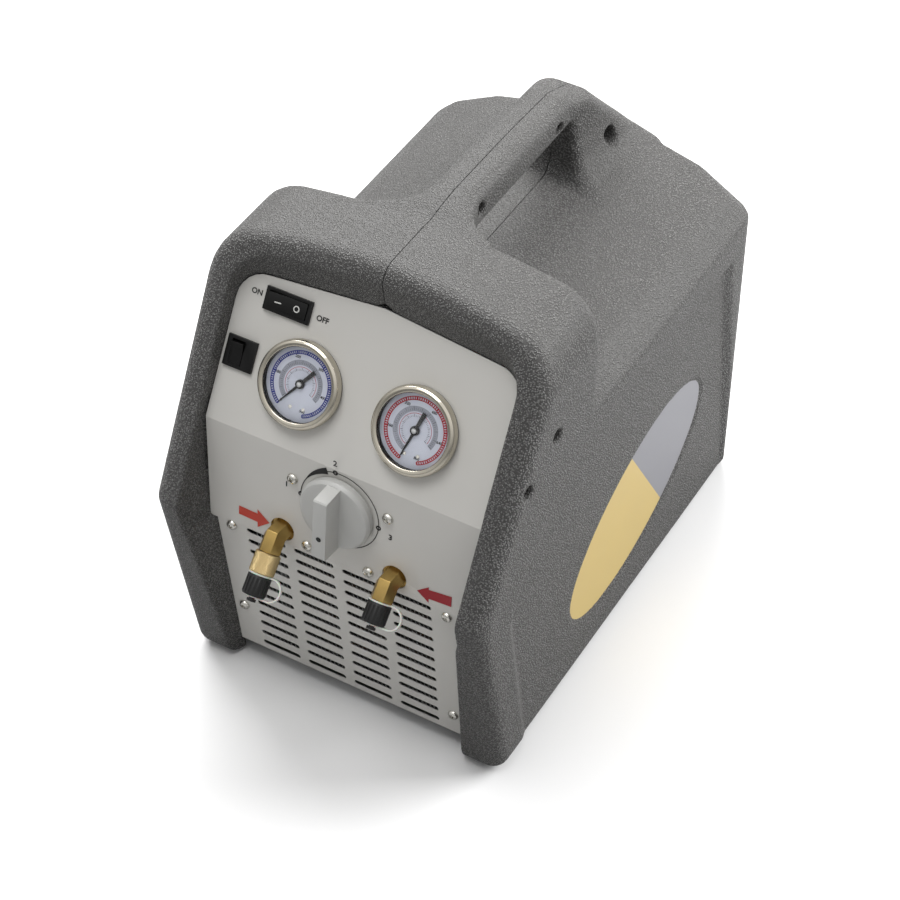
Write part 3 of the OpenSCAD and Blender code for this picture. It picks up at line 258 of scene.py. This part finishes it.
def from_mesh(name, mesh, material, body="housing", stands_for=(), smooth=32):
    mesh.materials.clear()
    mesh.materials.append(material)
    mesh.shade_smooth()
    mesh.set_sharp_from_angle(angle=math.radians(smooth))
    made = bpy.data.objects.new(name, mesh)
    scene.collection.objects.link(made)
    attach(made, body)
    if stands_for:
        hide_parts(*stands_for)
    return made


def merged(node):
    """Copy of a CAD node's mesh with its loose triangles joined."""
    bm = bmesh.new()
    bm.from_mesh(nodes[node].data)
    bmesh.ops.remove_doubles(bm, verts=bm.verts, dist=2e-6)
    return bm


def dressed(node, material, edge=0.3, steps=2, corner=30, smooth=32):
    """A copy of a CAD node with its sharp edges broken, which stands for the node."""
    bm = merged(node)
    bmesh.ops.dissolve_limit(bm, angle_limit=math.radians(0.6), verts=bm.verts, edges=bm.edges)
    sharp = [e for e in bm.edges if len(e.link_faces) == 2 and e.calc_face_angle() > math.radians(corner)]
    bmesh.ops.bevel(bm, geom=sharp, offset=edge*MM, offset_type="OFFSET", segments=steps, profile=0.5,
                    affect="EDGES", material=-1, clamp_overlap=True)
    return piece(node + "_finished", bm, material, nodes[node]["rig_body"], [node],
                 smooth=smooth)


def plain(node, material):
    """Leaves a CAD node's shape and gives it its finish."""
    nodes[node].data.materials.clear()
    nodes[node].data.materials.append(material)


def evaluated(bm, name, modifiers):
    """Mesh of a bmesh after modifiers, given as (type, settings) pairs."""
    mesh = bpy.data.meshes.new(name)
    bm.to_mesh(mesh)
    bm.free()
    helper = bpy.data.objects.new(name, mesh)
    scene.collection.objects.link(helper)
    for kind, settings in modifiers:
        modifier = helper.modifiers.new(kind, kind)
        for key, value in settings.items():
            setattr(modifier, key, value)
    bpy.context.view_layer.update()
    made = bpy.data.meshes.new_from_object(helper.evaluated_get(bpy.context.evaluated_depsgraph_get()))
    bpy.data.objects.remove(helper)
    return made


def cut_away(bm, tool):
    """Mesh of a bmesh less a tool, taking both."""
    mesh = bpy.data.meshes.new("tool")
    tool.to_mesh(mesh)
    tool.free()
    holder = bpy.data.objects.new("tool", mesh)
    scene.collection.objects.link(holder)
    cut = evaluated(bm, "cut", [("BOOLEAN", {"operation": "DIFFERENCE", "object": holder, "solver": "EXACT",
                                             "use_self": True})])
    bpy.data.objects.remove(holder)
    return cut


def turned(profile, steps=48):
    """Solid turned about Z from a profile of (radius, height) points."""
    bm = bmesh.new()
    points = [bm.verts.new((r*MM, 0, z*MM)) for r, z in profile]
    lines = [bm.edges.new(pair) for pair in zip(points, points[1:])]
    bmesh.ops.spin(bm, geom=points + lines, cent=(0, 0, 0), axis=(0, 0, 1), angle=2*math.pi, steps=steps,
                   use_merge=True)
    bmesh.ops.remove_doubles(bm, verts=bm.verts, dist=1e-6)
    bmesh.ops.recalc_face_normals(bm, faces=bm.faces)
    return bm


def print_area(outline, height, thickness=0.05):
    """Thin printed area with a straight outline, lying at a height."""
    bm = bmesh.new()
    face = bm.faces.new([bm.verts.new((x*MM, y*MM, height*MM)) for x, y in outline])
    raised = bmesh.ops.extrude_face_region(bm, geom=[face])["geom"]
    lift = [v for v in raised if isinstance(v, bmesh.types.BMVert)]
    bmesh.ops.translate(bm, verts=lift, vec=(0, 0, thickness*MM))
    bmesh.ops.recalc_face_normals(bm, faces=bm.faces)
    return bm


def print_arc(inner, outer, start, end, height, steps=48, thickness=0.05):
    """Thin printed arc from a start to an end angle, given in degrees from +X."""
    bm = bmesh.new()
    corners = [(inner, height), (outer, height), (outer, height + thickness), (inner, height + thickness)]
    ring = [bm.verts.new((r*MM, 0, z*MM)) for r, z in corners]
    bmesh.ops.rotate(bm, verts=ring, cent=(0, 0, 0), matrix=Matrix.Rotation(math.radians(start), 3, "Z"))
    face = bm.faces.new(ring)
    whole = abs(end - start) >= 360
    swept = ring + list(face.edges) if whole else [face]
    bmesh.ops.spin(bm, geom=swept, cent=(0, 0, 0), axis=(0, 0, 1), angle=math.radians(end - start),
                   steps=steps, use_merge=whole)
    if whole:
        bm.faces.remove(face)
    bmesh.ops.remove_doubles(bm, verts=bm.verts, dist=1e-7)
    bmesh.ops.recalc_face_normals(bm, faces=bm.faces)
    return bm


def joined(parts):
    """One bmesh from several."""
    whole = bmesh.new()
    for part in parts:
        mesh = bpy.data.meshes.new("part")
        part.to_mesh(mesh)
        part.free()
        whole.from_mesh(mesh)
        bpy.data.meshes.remove(mesh)
    return whole


def lettering(words, size, place, thickness=0.05):
    """Printed characters, centred on a place, as a bmesh."""
    curve = bpy.data.curves.new("print", "FONT")
    curve.body = words
    curve.size = size*MM
    curve.align_x = "CENTER"
    curve.align_y = "CENTER"
    curve.extrude = thickness*MM/2
    curve.offset = 0.025*size*MM
    curve.resolution_u = 3
    helper = bpy.data.objects.new("print", curve)
    scene.collection.objects.link(helper)
    bpy.context.view_layer.update()
    mesh = bpy.data.meshes.new_from_object(helper.evaluated_get(bpy.context.evaluated_depsgraph_get()))
    bpy.data.objects.remove(helper)
    bm = bmesh.new()
    bm.from_mesh(mesh)
    bmesh.ops.remove_doubles(bm, verts=bm.verts, dist=1e-7)
    bm.transform(place)
    return bm


# Moulded housing

VOXEL = 1.35
SHELL_FACES = 250000
SEAM = 0.3
SEAM_LAP = 1.5
LIP_S = 111.42
LIP_SLANT = 39.4
LIP_CORNER = 5.0
LIP_CENTRE = 1.08


def lip_notch():
    """Tool that rounds the two corners of the hood's lip at the seam, square to the lip's slanting face."""
    arc = [(LIP_CORNER*(LIP_CENTRE + math.cos(a)), LIP_CORNER*(1 + math.sin(a)))
           for a in (math.radians(d) for d in range(270, 179, -15))]
    right = [(LIP_CORNER*LIP_CENTRE, -3.0)] + arc
    bm = print_area(right + [(-x, t) for x, t in reversed(right)], -9, 13)
    bm.transform(at(UPPER, 0, LIP_S) @ about("X", LIP_SLANT))
    return bm


def moulded_form():
    """Both CAD halves lapped over the seam and run together, with edges rounded as a mould leaves them."""
    halves = []
    for node, side in (("right_shell", 1), ("left_shell", -1)):
        bm = merged(node)
        for v in bm.verts:
            if abs(v.co.x) < SEAM*MM:
                v.co.x = -side*SEAM_LAP*MM
        half = bmesh.new()
        half.from_mesh(cut_away(bm, lip_notch()))
        halves.append(half)
    mesh = evaluated(joined(halves), "form", [("REMESH", {"mode": "VOXEL", "voxel_size": VOXEL*MM})])
    bm = bmesh.new()
    bm.from_mesh(mesh)
    for _ in range(4):
        bmesh.ops.smooth_vert(bm, verts=bm.verts, factor=0.5, use_axis_x=True, use_axis_y=True,
                              use_axis_z=True)
    return evaluated(bm, "form", [("DECIMATE", {"ratio": min(1.0, SHELL_FACES/(2*len(mesh.polygons)))})])


def moulded(node, form, side):
    """Housing half: the smooth form cut along the seam, with the cut closed."""
    bm = bmesh.new()
    bm.from_mesh(form)
    cut = bmesh.ops.bisect_plane(bm, geom=bm.verts[:] + bm.edges[:] + bm.faces[:], dist=1e-6,
                                 plane_co=(side*SEAM*MM, 0, 0), plane_no=(-side, 0, 0), clear_outer=True)
    rim = [e for e in cut["geom_cut"] if isinstance(e, bmesh.types.BMEdge)]
    bmesh.ops.triangle_fill(bm, use_beauty=True, use_dissolve=False, edges=rim)
    return piece(node + "_moulded", bm, ABS, "housing", [node], smooth=60)


whole_form = moulded_form()
moulded("right_shell", whole_form, 1)
moulded("left_shell", whole_form, -1)

# Label film in the oval of the right side
OVAL_Y = 236.0
OVAL_Z = 94.0
OVAL_TURN = 18.3
OVAL_HALF = (102.0, 52.0)
LABEL_X = 119.42
FILM_T = 0.25
SPLIT = ((228.7, 135.7), (291.1, 39.5))


def label(name, material, keep_front):
    """The part of the oval film in front of the slanting split, or behind it."""
    bm = bmesh.new()
    bmesh.ops.create_circle(bm, cap_ends=True, radius=MM, segments=120)
    bmesh.ops.scale(bm, verts=bm.verts, vec=(OVAL_HALF[0], OVAL_HALF[1], 1))
    bm.transform(Matrix.Translation((LABEL_X*MM, KNEE_Y + OVAL_Y*MM, OVAL_Z*MM))
                 @ about("X", OVAL_TURN) @ about("Z", 90) @ about("X", 90))
    (y0, z0), (y1, z1) = SPLIT
    slant = Vector((0, z0 - z1, y1 - y0)).normalized()
    bmesh.ops.bisect_plane(bm, geom=bm.verts[:] + bm.edges[:] + bm.faces[:], dist=1e-7,
                           plane_co=(0, KNEE_Y + y0*MM, z0*MM), plane_no=slant,
                           clear_outer=keep_front, clear_inner=not keep_front)
    raised = bmesh.ops.extrude_face_region(bm, geom=bm.faces[:])["geom"]
    lift = [v for v in raised if isinstance(v, bmesh.types.BMVert)]
    bmesh.ops.translate(bm, verts=lift, vec=(FILM_T*MM, 0, 0))
    bmesh.ops.recalc_face_normals(bm, faces=bm.faces)
    return piece(name, bm, material)


label("label_front", YELLOW_FILM, True)
label("label_rear", GREY_FILM, False)

# Sheet metal, rubber and the parts inside
SHEET = 1.5
SHEET_THIN = 0.7
BEND_CLEAR = 2


def thin_grille(panel):
    """Thins the panel from behind below the bend, since the CAD's sheet is thicker than the photo's grille
    looks. The front face and the slots stay as they are."""
    to_sheet = LOWER.inverted()
    for v in panel.data.vertices:
        spot = to_sheet @ v.co
        if spot.y < -BEND_CLEAR*MM and spot.z < -SHEET_THIN*MM:
            v.co = LOWER @ Vector((spot.x, spot.y, spot.z*SHEET_THIN/SHEET))


thin_grille(dressed("front_panel", PAINT, 0.2, smooth=20))
dressed("rear_panel", DARK_PAINT, 0.25, smooth=20)
dressed("base_plate", GALVANISED, 0.3, smooth=20)
dressed("rubber_feet", RUBBER, 0.5)
dressed("power_inlet", BLACK, 0.4)
dressed("inlet_pins", STEEL, 0.25)
dressed("condenser_frame", GALVANISED, 0.2)
plain("condenser_fins", ALUMINIUM)
INSIDE = {
    COPPER: ["condenser_tube", "left_capillary", "right_capillary", "suction_pipe", "discharge_pipe",
             "liquid_pipe"],
    BLACK: ["fan_shroud", "cooling_fan"],
    MOTOR_PAINT: ["motor_can"],
    STEEL: ["motor_shaft", "pressure_switch"],
    GALVANISED: ["motor_cradle", "capacitor_clamp"],
    ALUMINIUM: ["crankcase", "compressor_cylinder", "cylinder_head", "run_capacitor"],
    BRASS: ["valve_stem", "valve_manifold"],
}
for material, names in INSIDE.items():
    for name in names:
        dressed(name, material, 0.4)

# Power switch and breaker
dressed("switch_housing", GLOSS_BLACK, 0.5, 3)
dressed("switch_rocker", GLOSS_BLACK, 0.5, 3)
dressed("breaker_housing", GLOSS_BLACK, 0.5, 3)
dressed("breaker_button", GLOSS_BLACK, 0.4, 3)
ROCKER = SWITCH @ Matrix.Translation((0, 0, -MM)) @ about("Y", 7)
ROCKER_SLOPE = 9.12
MARK_X = 6.6
MARK_Z = 3.4 + 2.2*MARK_X/13.7
on_face = ROCKER @ Matrix.Translation((-MARK_X*MM, 0, MARK_Z*MM)) @ about("Y", ROCKER_SLOPE)
off_face = ROCKER @ Matrix.Translation((MARK_X*MM, 0, MARK_Z*MM)) @ about("Y", -ROCKER_SLOPE)
dash = [(-2.2, -0.4), (2.2, -0.4), (2.2, 0.4), (-2.2, 0.4)]
piece("rocker_on_mark", print_area(dash, 0), WHITE_INK, "power_rocker", place=on_face)
piece("rocker_off_mark", print_arc(1.55, 2.25, 0, 360, 0, 40), WHITE_INK, "power_rocker", place=off_face)
piece("switch_words", joined([lettering("ON", 5.2, at(UPPER, -89.6, 91.3, 0.03)),
                              lettering("OFF", 5.2, at(UPPER, -39.9, 89.6, 0.03))]), BLACK_INK)

# Pressure gauges
DIAL_TOP = 1.47
NEEDLE_TOP = 3.52
NUMBER_R = 17.6
DIAL_SCREW_R = 16.5
DIAL_SCREW_TURNS = (-101, -68)
LEFT_START = 233.4
RIGHT_START = 254.2
SCALE_END = -71.0
SCALE_RINGS = ((19.2, 19.8), (21.2, 21.8))
SCALE_TICKS = (19.6, 21.4, 21.4, 0.75)
BAND = (12.2, 15.6)
BAND_TICKS = (12.9, 14.2, 15.2, 0.24)
INNER_RING = (10.9, 11.2)
INNER_TICKS = (8.6, 9.7, 10.4, 0.24)


def round_place(radius, degrees, height=0.0):
    """Place on a circle about Z, at an angle from +X."""
    angle = math.radians(degrees)
    return Matrix.Translation((radius*MM*math.cos(angle), radius*MM*math.sin(angle), height*MM))


def tick(r0, r1, width, degrees, height):
    bm = print_area([(r0, -width/2), (r1, -width/2), (r1, width/2), (r0, width/2)], height)
    bm.transform(about("Z", degrees))
    return bm


def scale_marks(height, start, end, count, every, r0, r1, long_r1, width):
    """Row of ticks along an arc, with a longer and wider one at every few."""
    marks = []
    for k in range(count + 1):
        degrees = start + (end - start)/count*k
        if k % every == 0:
            marks.append(tick(r0, long_r1, width*1.5, degrees, height))
        else:
            marks.append(tick(r0, r1, width, degrees, height))
    return marks


def gauge(side, place, ink, start, end, top_value):
    """Dial print, ring, lens, needle and dial screws of one gauge."""
    dressed(side + "_gauge_case", BLACK, 0.2)
    dressed(side + "_gauge_bezel", STAINLESS, 0.35, 3, 24, 50)
    dressed(side + "_gauge_lens", ACRYLIC, 0.2)
    dressed(side + "_gauge_dial", DIAL, 0.1)
    dressed(side + "_needle", BLACK, 0.08)
    ring = [print_arc(*radii, start, end, DIAL_TOP, 90) for radii in SCALE_RINGS]
    ring += scale_marks(DIAL_TOP, start, end, 75, 5, *SCALE_TICKS)
    piece(side + "_dial_scale", joined(ring), ink, place=place)
    band = print_arc(*BAND, start - 4, end + 40, DIAL_TOP, 70)
    piece(side + "_dial_band", band, GREY_INK, place=place)
    from_turn, to_turn = start - 6, end + 42
    fine = scale_marks(DIAL_TOP + 0.06, from_turn, to_turn, 48, 4, *BAND_TICKS)
    fine += scale_marks(DIAL_TOP, from_turn, to_turn, 40, 4, *INNER_TICKS)
    piece(side + "_dial_ticks", joined(fine), DARK_GREY_INK, place=place)
    inner = print_arc(*INNER_RING, from_turn, to_turn, DIAL_TOP, 60)
    piece(side + "_dial_ring", inner, RED_INK, place=place)
    numbers = []
    for k in range(6):
        spot = round_place(NUMBER_R, start + (end - start)*k/5, DIAL_TOP + 0.03)
        numbers.append(lettering(str(top_value*k//5), 2.6, spot))
    piece(side + "_dial_numbers", joined(numbers), BLACK_INK, place=place)
    heads = []
    for degrees in DIAL_SCREW_TURNS:
        head = turned([(0, 0.34), (0.7, 0.31), (1.15, 0.18), (1.3, 0), (0, 0)], 20)
        head.transform(round_place(DIAL_SCREW_R, degrees, DIAL_TOP))
        heads.append(head)
    piece(side + "_dial_screws", joined(heads), ZINC, place=place)
    cap = turned([(0, 0.9), (0.9, 0.85), (1.5, 0.6), (1.8, 0.15), (1.8, 0), (0, 0)], 32)
    piece(side + "_needle_cap", cap, STEEL, side + "_pointer",
          place=place @ Matrix.Translation((0, 0, NEEDLE_TOP*MM)))


gauge("left", LEFT_GAUGE, BLUE_INK, LEFT_START, SCALE_END, 500)
gauge("right", RIGHT_GAUGE, RED_INK, RIGHT_START, SCALE_END, 800)

# Selector knob and the ring printed round it
dressed("valve_knob", LIGHT_ABS, 0.8, 3, 30, 40)
RING_R = 29.5
RING_LINE = (RING_R - 0.3, RING_R + 0.3)
RING_DOTS = (180, 98, -3)
WEDGE_TIP = 150
WEDGE_END = 110
PRINT_H = 0.03
KNOB_TOP = 25.52
ring = [print_arc(*RING_LINE, WEDGE_END, -100, PRINT_H, 90),
        print_arc(*RING_LINE, 186, WEDGE_TIP, PRINT_H, 20)]
wedge = print_arc(*RING_LINE, WEDGE_TIP, WEDGE_END, PRINT_H, 24)
for v in wedge.verts:
    grow = (WEDGE_TIP - math.degrees(math.atan2(v.co.y, v.co.x)))/(WEDGE_TIP - WEDGE_END)
    swell = 0.085 if v.co.xy.length > RING_R*MM else -0.07
    v.co.xy *= 1 + swell*max(0.0, grow)
for degrees in RING_DOTS:
    dot = print_arc(0.9, 1.9, 0, 360, PRINT_H, 24)
    dot.transform(round_place(RING_R, degrees))
    ring.append(dot)
piece("selector_ring", joined(ring + [wedge]), BLACK_INK, place=KNOB)
piece("knob_dot", turned([(0, 0.06), (1.9, 0.06), (1.9, 0), (0, 0)], 28), BLACK_INK, "selector",
      place=at(KNOB, 0, -7, KNOB_TOP))
POSITIONS = [("1", -40.5, 3.0), ("2", -4.5, 36.5), ("3", 38.5, -5.5)]
numbers = [lettering(word, 6.0, at(KNOB, x, y, PRINT_H)) for word, x, y in POSITIONS]
piece("selector_numbers", joined(numbers), BLACK_INK)

# Flow arrows beside the ports
IN_ARROW = [(-77, 8), (-62.3, 7.6), (-62.1, 3.4), (-52.9, 11.0), (-62.5, 18.6), (-62.4, 14.8), (-77, 15.2)]
OUT_ARROW = [(60.4, 7.6), (69.4, 1.2), (69.4, 4.6), (86, 5.8), (86, 14.4), (69, 12.2), (68.8, 14.4)]
piece("inlet_arrow", print_area(IN_ARROW, PRINT_H), ORANGE_INK, place=MIDDLE)
piece("outlet_arrow", print_area(OUT_ARROW, PRINT_H), RED_INK, place=MIDDLE)

# Hose ports
dressed("inlet_elbow", BRASS, 0.45, 3, 25, 24)
dressed("outlet_elbow", BRASS, 0.45, 3, 25, 24)
COLLAR_START = 11.3
COLLAR_L = 14.4
COLLAR_R = 8.75
COLLAR_BORE_R = 5.65
KNURL_COUNT = 44
KNURL_PITCH = 1.2
KNURL_DEPTH = 0.34
KNURL_FLANK = 0.2


def knurled_collar():
    """Collar with a diamond knurl rolled into its grip and plain turned ends."""
    grip = [(COLLAR_R - 0.1, 0.9 + 0.3*k) for k in range(43)]
    bm = turned([(COLLAR_BORE_R, 0), (8.0, 0), (8.6, 0.6)] + grip
                + [(8.6, 13.8), (8.0, COLLAR_L), (COLLAR_BORE_R, COLLAR_L), (COLLAR_BORE_R, 0)],
                4*KNURL_COUNT)
    for v in bm.verts:
        reach = v.co.xy.length/MM
        height = v.co.z/MM
        if reach > 8.62 and 0.8 < height < 13.6:
            turn = math.atan2(v.co.y, v.co.x)*KNURL_COUNT/(2*math.pi)
            rise = height/KNURL_PITCH
            groove = min(abs((turn + rise) % 1 - 0.5), abs((turn - rise) % 1 - 0.5))
            v.co.xy *= (COLLAR_R - KNURL_DEPTH*max(0.0, 1 - groove/KNURL_FLANK))/reach
    place = INLET @ Matrix.Translation((0, 0, COLLAR_START*MM))
    return piece("inlet_collar_finished", bm, BRASS_CUT, "collar",
                 ["inlet_collar"], place)


knurled_collar()
for side in ("inlet", "outlet"):
    dressed(side + "_cap", BLACK, 0.25)
    dressed(side + "_strap", POLYTHENE, 0.25)


# Screws with a cross recess

def cross_screw(head_d, head_h, shank_d, shank_l):
    """Pan head screw, its axis along Z and the head's seat at zero."""
    head = [(0, head_h), (head_d*0.2, head_h*0.97), (head_d*0.36, head_h*0.8), (head_d*0.46, head_h*0.5),
            (head_d/2, head_h*0.12), (head_d/2, 0)]
    bm = turned(head + [(shank_d/2, 0), (shank_d/2, -shank_l), (0, -shank_l)], 32)
    cutter = bmesh.new()
    for turn in (0, 90):
        bar = bmesh.ops.create_cube(cutter, size=1)["verts"]
        bmesh.ops.scale(cutter, verts=bar, vec=(head_d*0.62*MM, head_d*0.16*MM, head_h*1.3*MM))
        for v in bar:
            if v.co.z < 0:
                v.co.x *= 0.45
        bmesh.ops.rotate(cutter, verts=bar, cent=(0, 0, 0), matrix=about("Z", turn).to_3x3())
    bmesh.ops.translate(cutter, verts=cutter.verts, vec=(0, 0, head_h*MM))
    return cut_away(bm, cutter)


def screws(node, size, places, material):
    """All the screws of one CAD node, each turned a little differently."""
    mesh = cross_screw(*size)
    copies = []
    for k, place in enumerate(places):
        one = bmesh.new()
        one.from_mesh(mesh)
        one.transform(place @ about("Z", 23 + 37*k))
        copies.append(one)
    return piece(node + "_finished", joined(copies), material, "housing", [node])


def across(x, y, z, side):
    """Place at a depth behind the knee, looking out to one side."""
    return Matrix.Translation((side*x*MM, KNEE_Y + y*MM, z*MM)) @ about("Y", 90*side)


LOW_SCREWS = [(-83, -5.4), (83, -5.4), (-83, -92.6), (83, -114.5)]
MID_SCREWS = [(-36, 57.3), (36, 57.3), (-23.5, 5.4), (23.5, 5.4)]
FRAME_HOLES = [(94.47, 273), (58.07, 254)]
BAR_HOLES = [(186, 347), (293, 341), (356, 298)]
FRAME_SEAT_X = 112.1
BAR_SEAT_X = 7.1
PANEL_SCREW = (8, 2.6, 3.8, 9)
FRAME_SCREW = (8, 2.6, 4.2, 13)
SHELL_SCREW = (7.6, 3, 4, 17)
screws("panel_screws", PANEL_SCREW, [at(LOWER, *p) for p in LOW_SCREWS], ZINC)
screws("manifold_screws", PANEL_SCREW, [at(MIDDLE, *p) for p in MID_SCREWS], ZINC)
screws("frame_screws", FRAME_SCREW,
       [across(FRAME_SEAT_X, y, z, side) for side in (1, -1) for y, z in FRAME_HOLES], ZINC)
screws("shell_screws", SHELL_SCREW, [across(BAR_SEAT_X, y, z, 1) for y, z in BAR_HOLES], ZINC)
dressed("rear_screws", BLACK, 0.15)


# Floor, light and camera

CAMERA_AROUND = 29.18
CAMERA_ABOVE = 43.97
CAMERA_ROLL = 0.86
CAMERA_SPOT = (0.64869, KNEE_Y - 0.98124, 1.41277)
CAMERA_LENS = 105.83


def studio():
    """White floor and room. The floor is greyer for bounced light, which keeps the lower faces dark. Polished
    pieces mirror a room that darkens towards the horizon, and an even fill lights the rest."""
    floor = bmesh.new()
    bmesh.ops.create_grid(floor, x_segments=1, y_segments=1, size=6)
    mesh = bpy.data.meshes.new("floor")
    floor.to_mesh(mesh)
    floor.free()
    ground = bpy.data.objects.new("floor", mesh)
    scene.collection.objects.link(ground)
    material, tree, shader, _ = blank("white studio floor")
    eye = add(tree, "LightPath").outputs["Is Camera Ray"]
    shade = add(tree, "Mix", {"data_type": "RGBA", 6: rgb("#b4b4b4"), 7: rgb("#fafafa")}, {0: eye})
    tree.links.new(shade.outputs[2], shader.inputs["Base Color"])
    shader.inputs["Roughness"].default_value = 0.9
    shader.inputs["Specular IOR Level"].default_value = 0.0
    mesh.materials.append(material)
    world = bpy.data.worlds.new("studio")
    scene.world = world
    world.use_nodes = True
    tree = world.node_tree
    back = tree.nodes["Background"]
    back.inputs["Color"].default_value = (1, 1, 1, 1)
    rays = add(tree, "LightPath")
    height = add(tree, "SeparateXYZ", {}, {0: add(tree, "TexCoord").outputs["Generated"]})
    room = add(tree, "MapRange", {"From Min": 0.05, "From Max": 0.75, "To Min": 0.3, "To Max": 1.1},
               {"Value": height.outputs[2]})
    mirrored = add(tree, "Mix", {2: 0.31}, {0: rays.outputs["Is Glossy Ray"], 3: room.outputs[0]})
    seen = add(tree, "Math", {"operation": "MAXIMUM"},
               {0: rays.outputs["Is Camera Ray"], 1: rays.outputs["Is Transmission Ray"]})
    level = add(tree, "Mix", {3: 1.0}, {0: seen.outputs[0], 2: mirrored.outputs[0]})
    tree.links.new(level.outputs[0], back.inputs["Strength"])


def softbox(name, spot, target, size, power):
    lamp = bpy.data.lights.new(name, "AREA")
    lamp.shape = "RECTANGLE"
    lamp.size, lamp.size_y = size
    lamp.energy = power
    holder = bpy.data.objects.new(name, lamp)
    holder.location = spot
    holder.rotation_euler = (Vector(target) - Vector(spot)).to_track_quat("-Z", "Y").to_euler()
    scene.collection.objects.link(holder)


def camera():
    """Camera of the photograph, as fitted to the stated size."""
    around, above, roll = (math.radians(d) for d in (CAMERA_AROUND, CAMERA_ABOVE, CAMERA_ROLL))
    back = Vector((math.sin(around)*math.cos(above), -math.cos(around)*math.cos(above), math.sin(above)))
    right = Vector((math.cos(around), math.sin(around), 0))
    up = back.cross(right)
    x_axis = math.cos(roll)*right + math.sin(roll)*up
    y_axis = math.cos(roll)*up - math.sin(roll)*right
    lens = bpy.data.cameras.new("camera")
    lens.lens = CAMERA_LENS
    lens.sensor_width = 36
    lens.clip_end = 20
    holder = bpy.data.objects.new("camera", lens)
    turn = Matrix((x_axis, y_axis, back)).transposed().to_4x4()
    holder.matrix_world = Matrix.Translation(CAMERA_SPOT) @ turn
    scene.collection.objects.link(holder)
    scene.camera = holder


studio()
softbox("overhead", (-1.3, 1.15, 1.9), (0, 0, 0.25), (2.2, 1.4), 78)
softbox("right_key", (1.75, 1.6, 1.5), (0, 0, 0.15), (1.8, 1.8), 86)
softbox("front_high", (-0.4, -0.6, 2.9), (0, 0, 0.15), (1.6, 1.2), 36)
camera()
scene.view_settings.view_transform = "Standard"
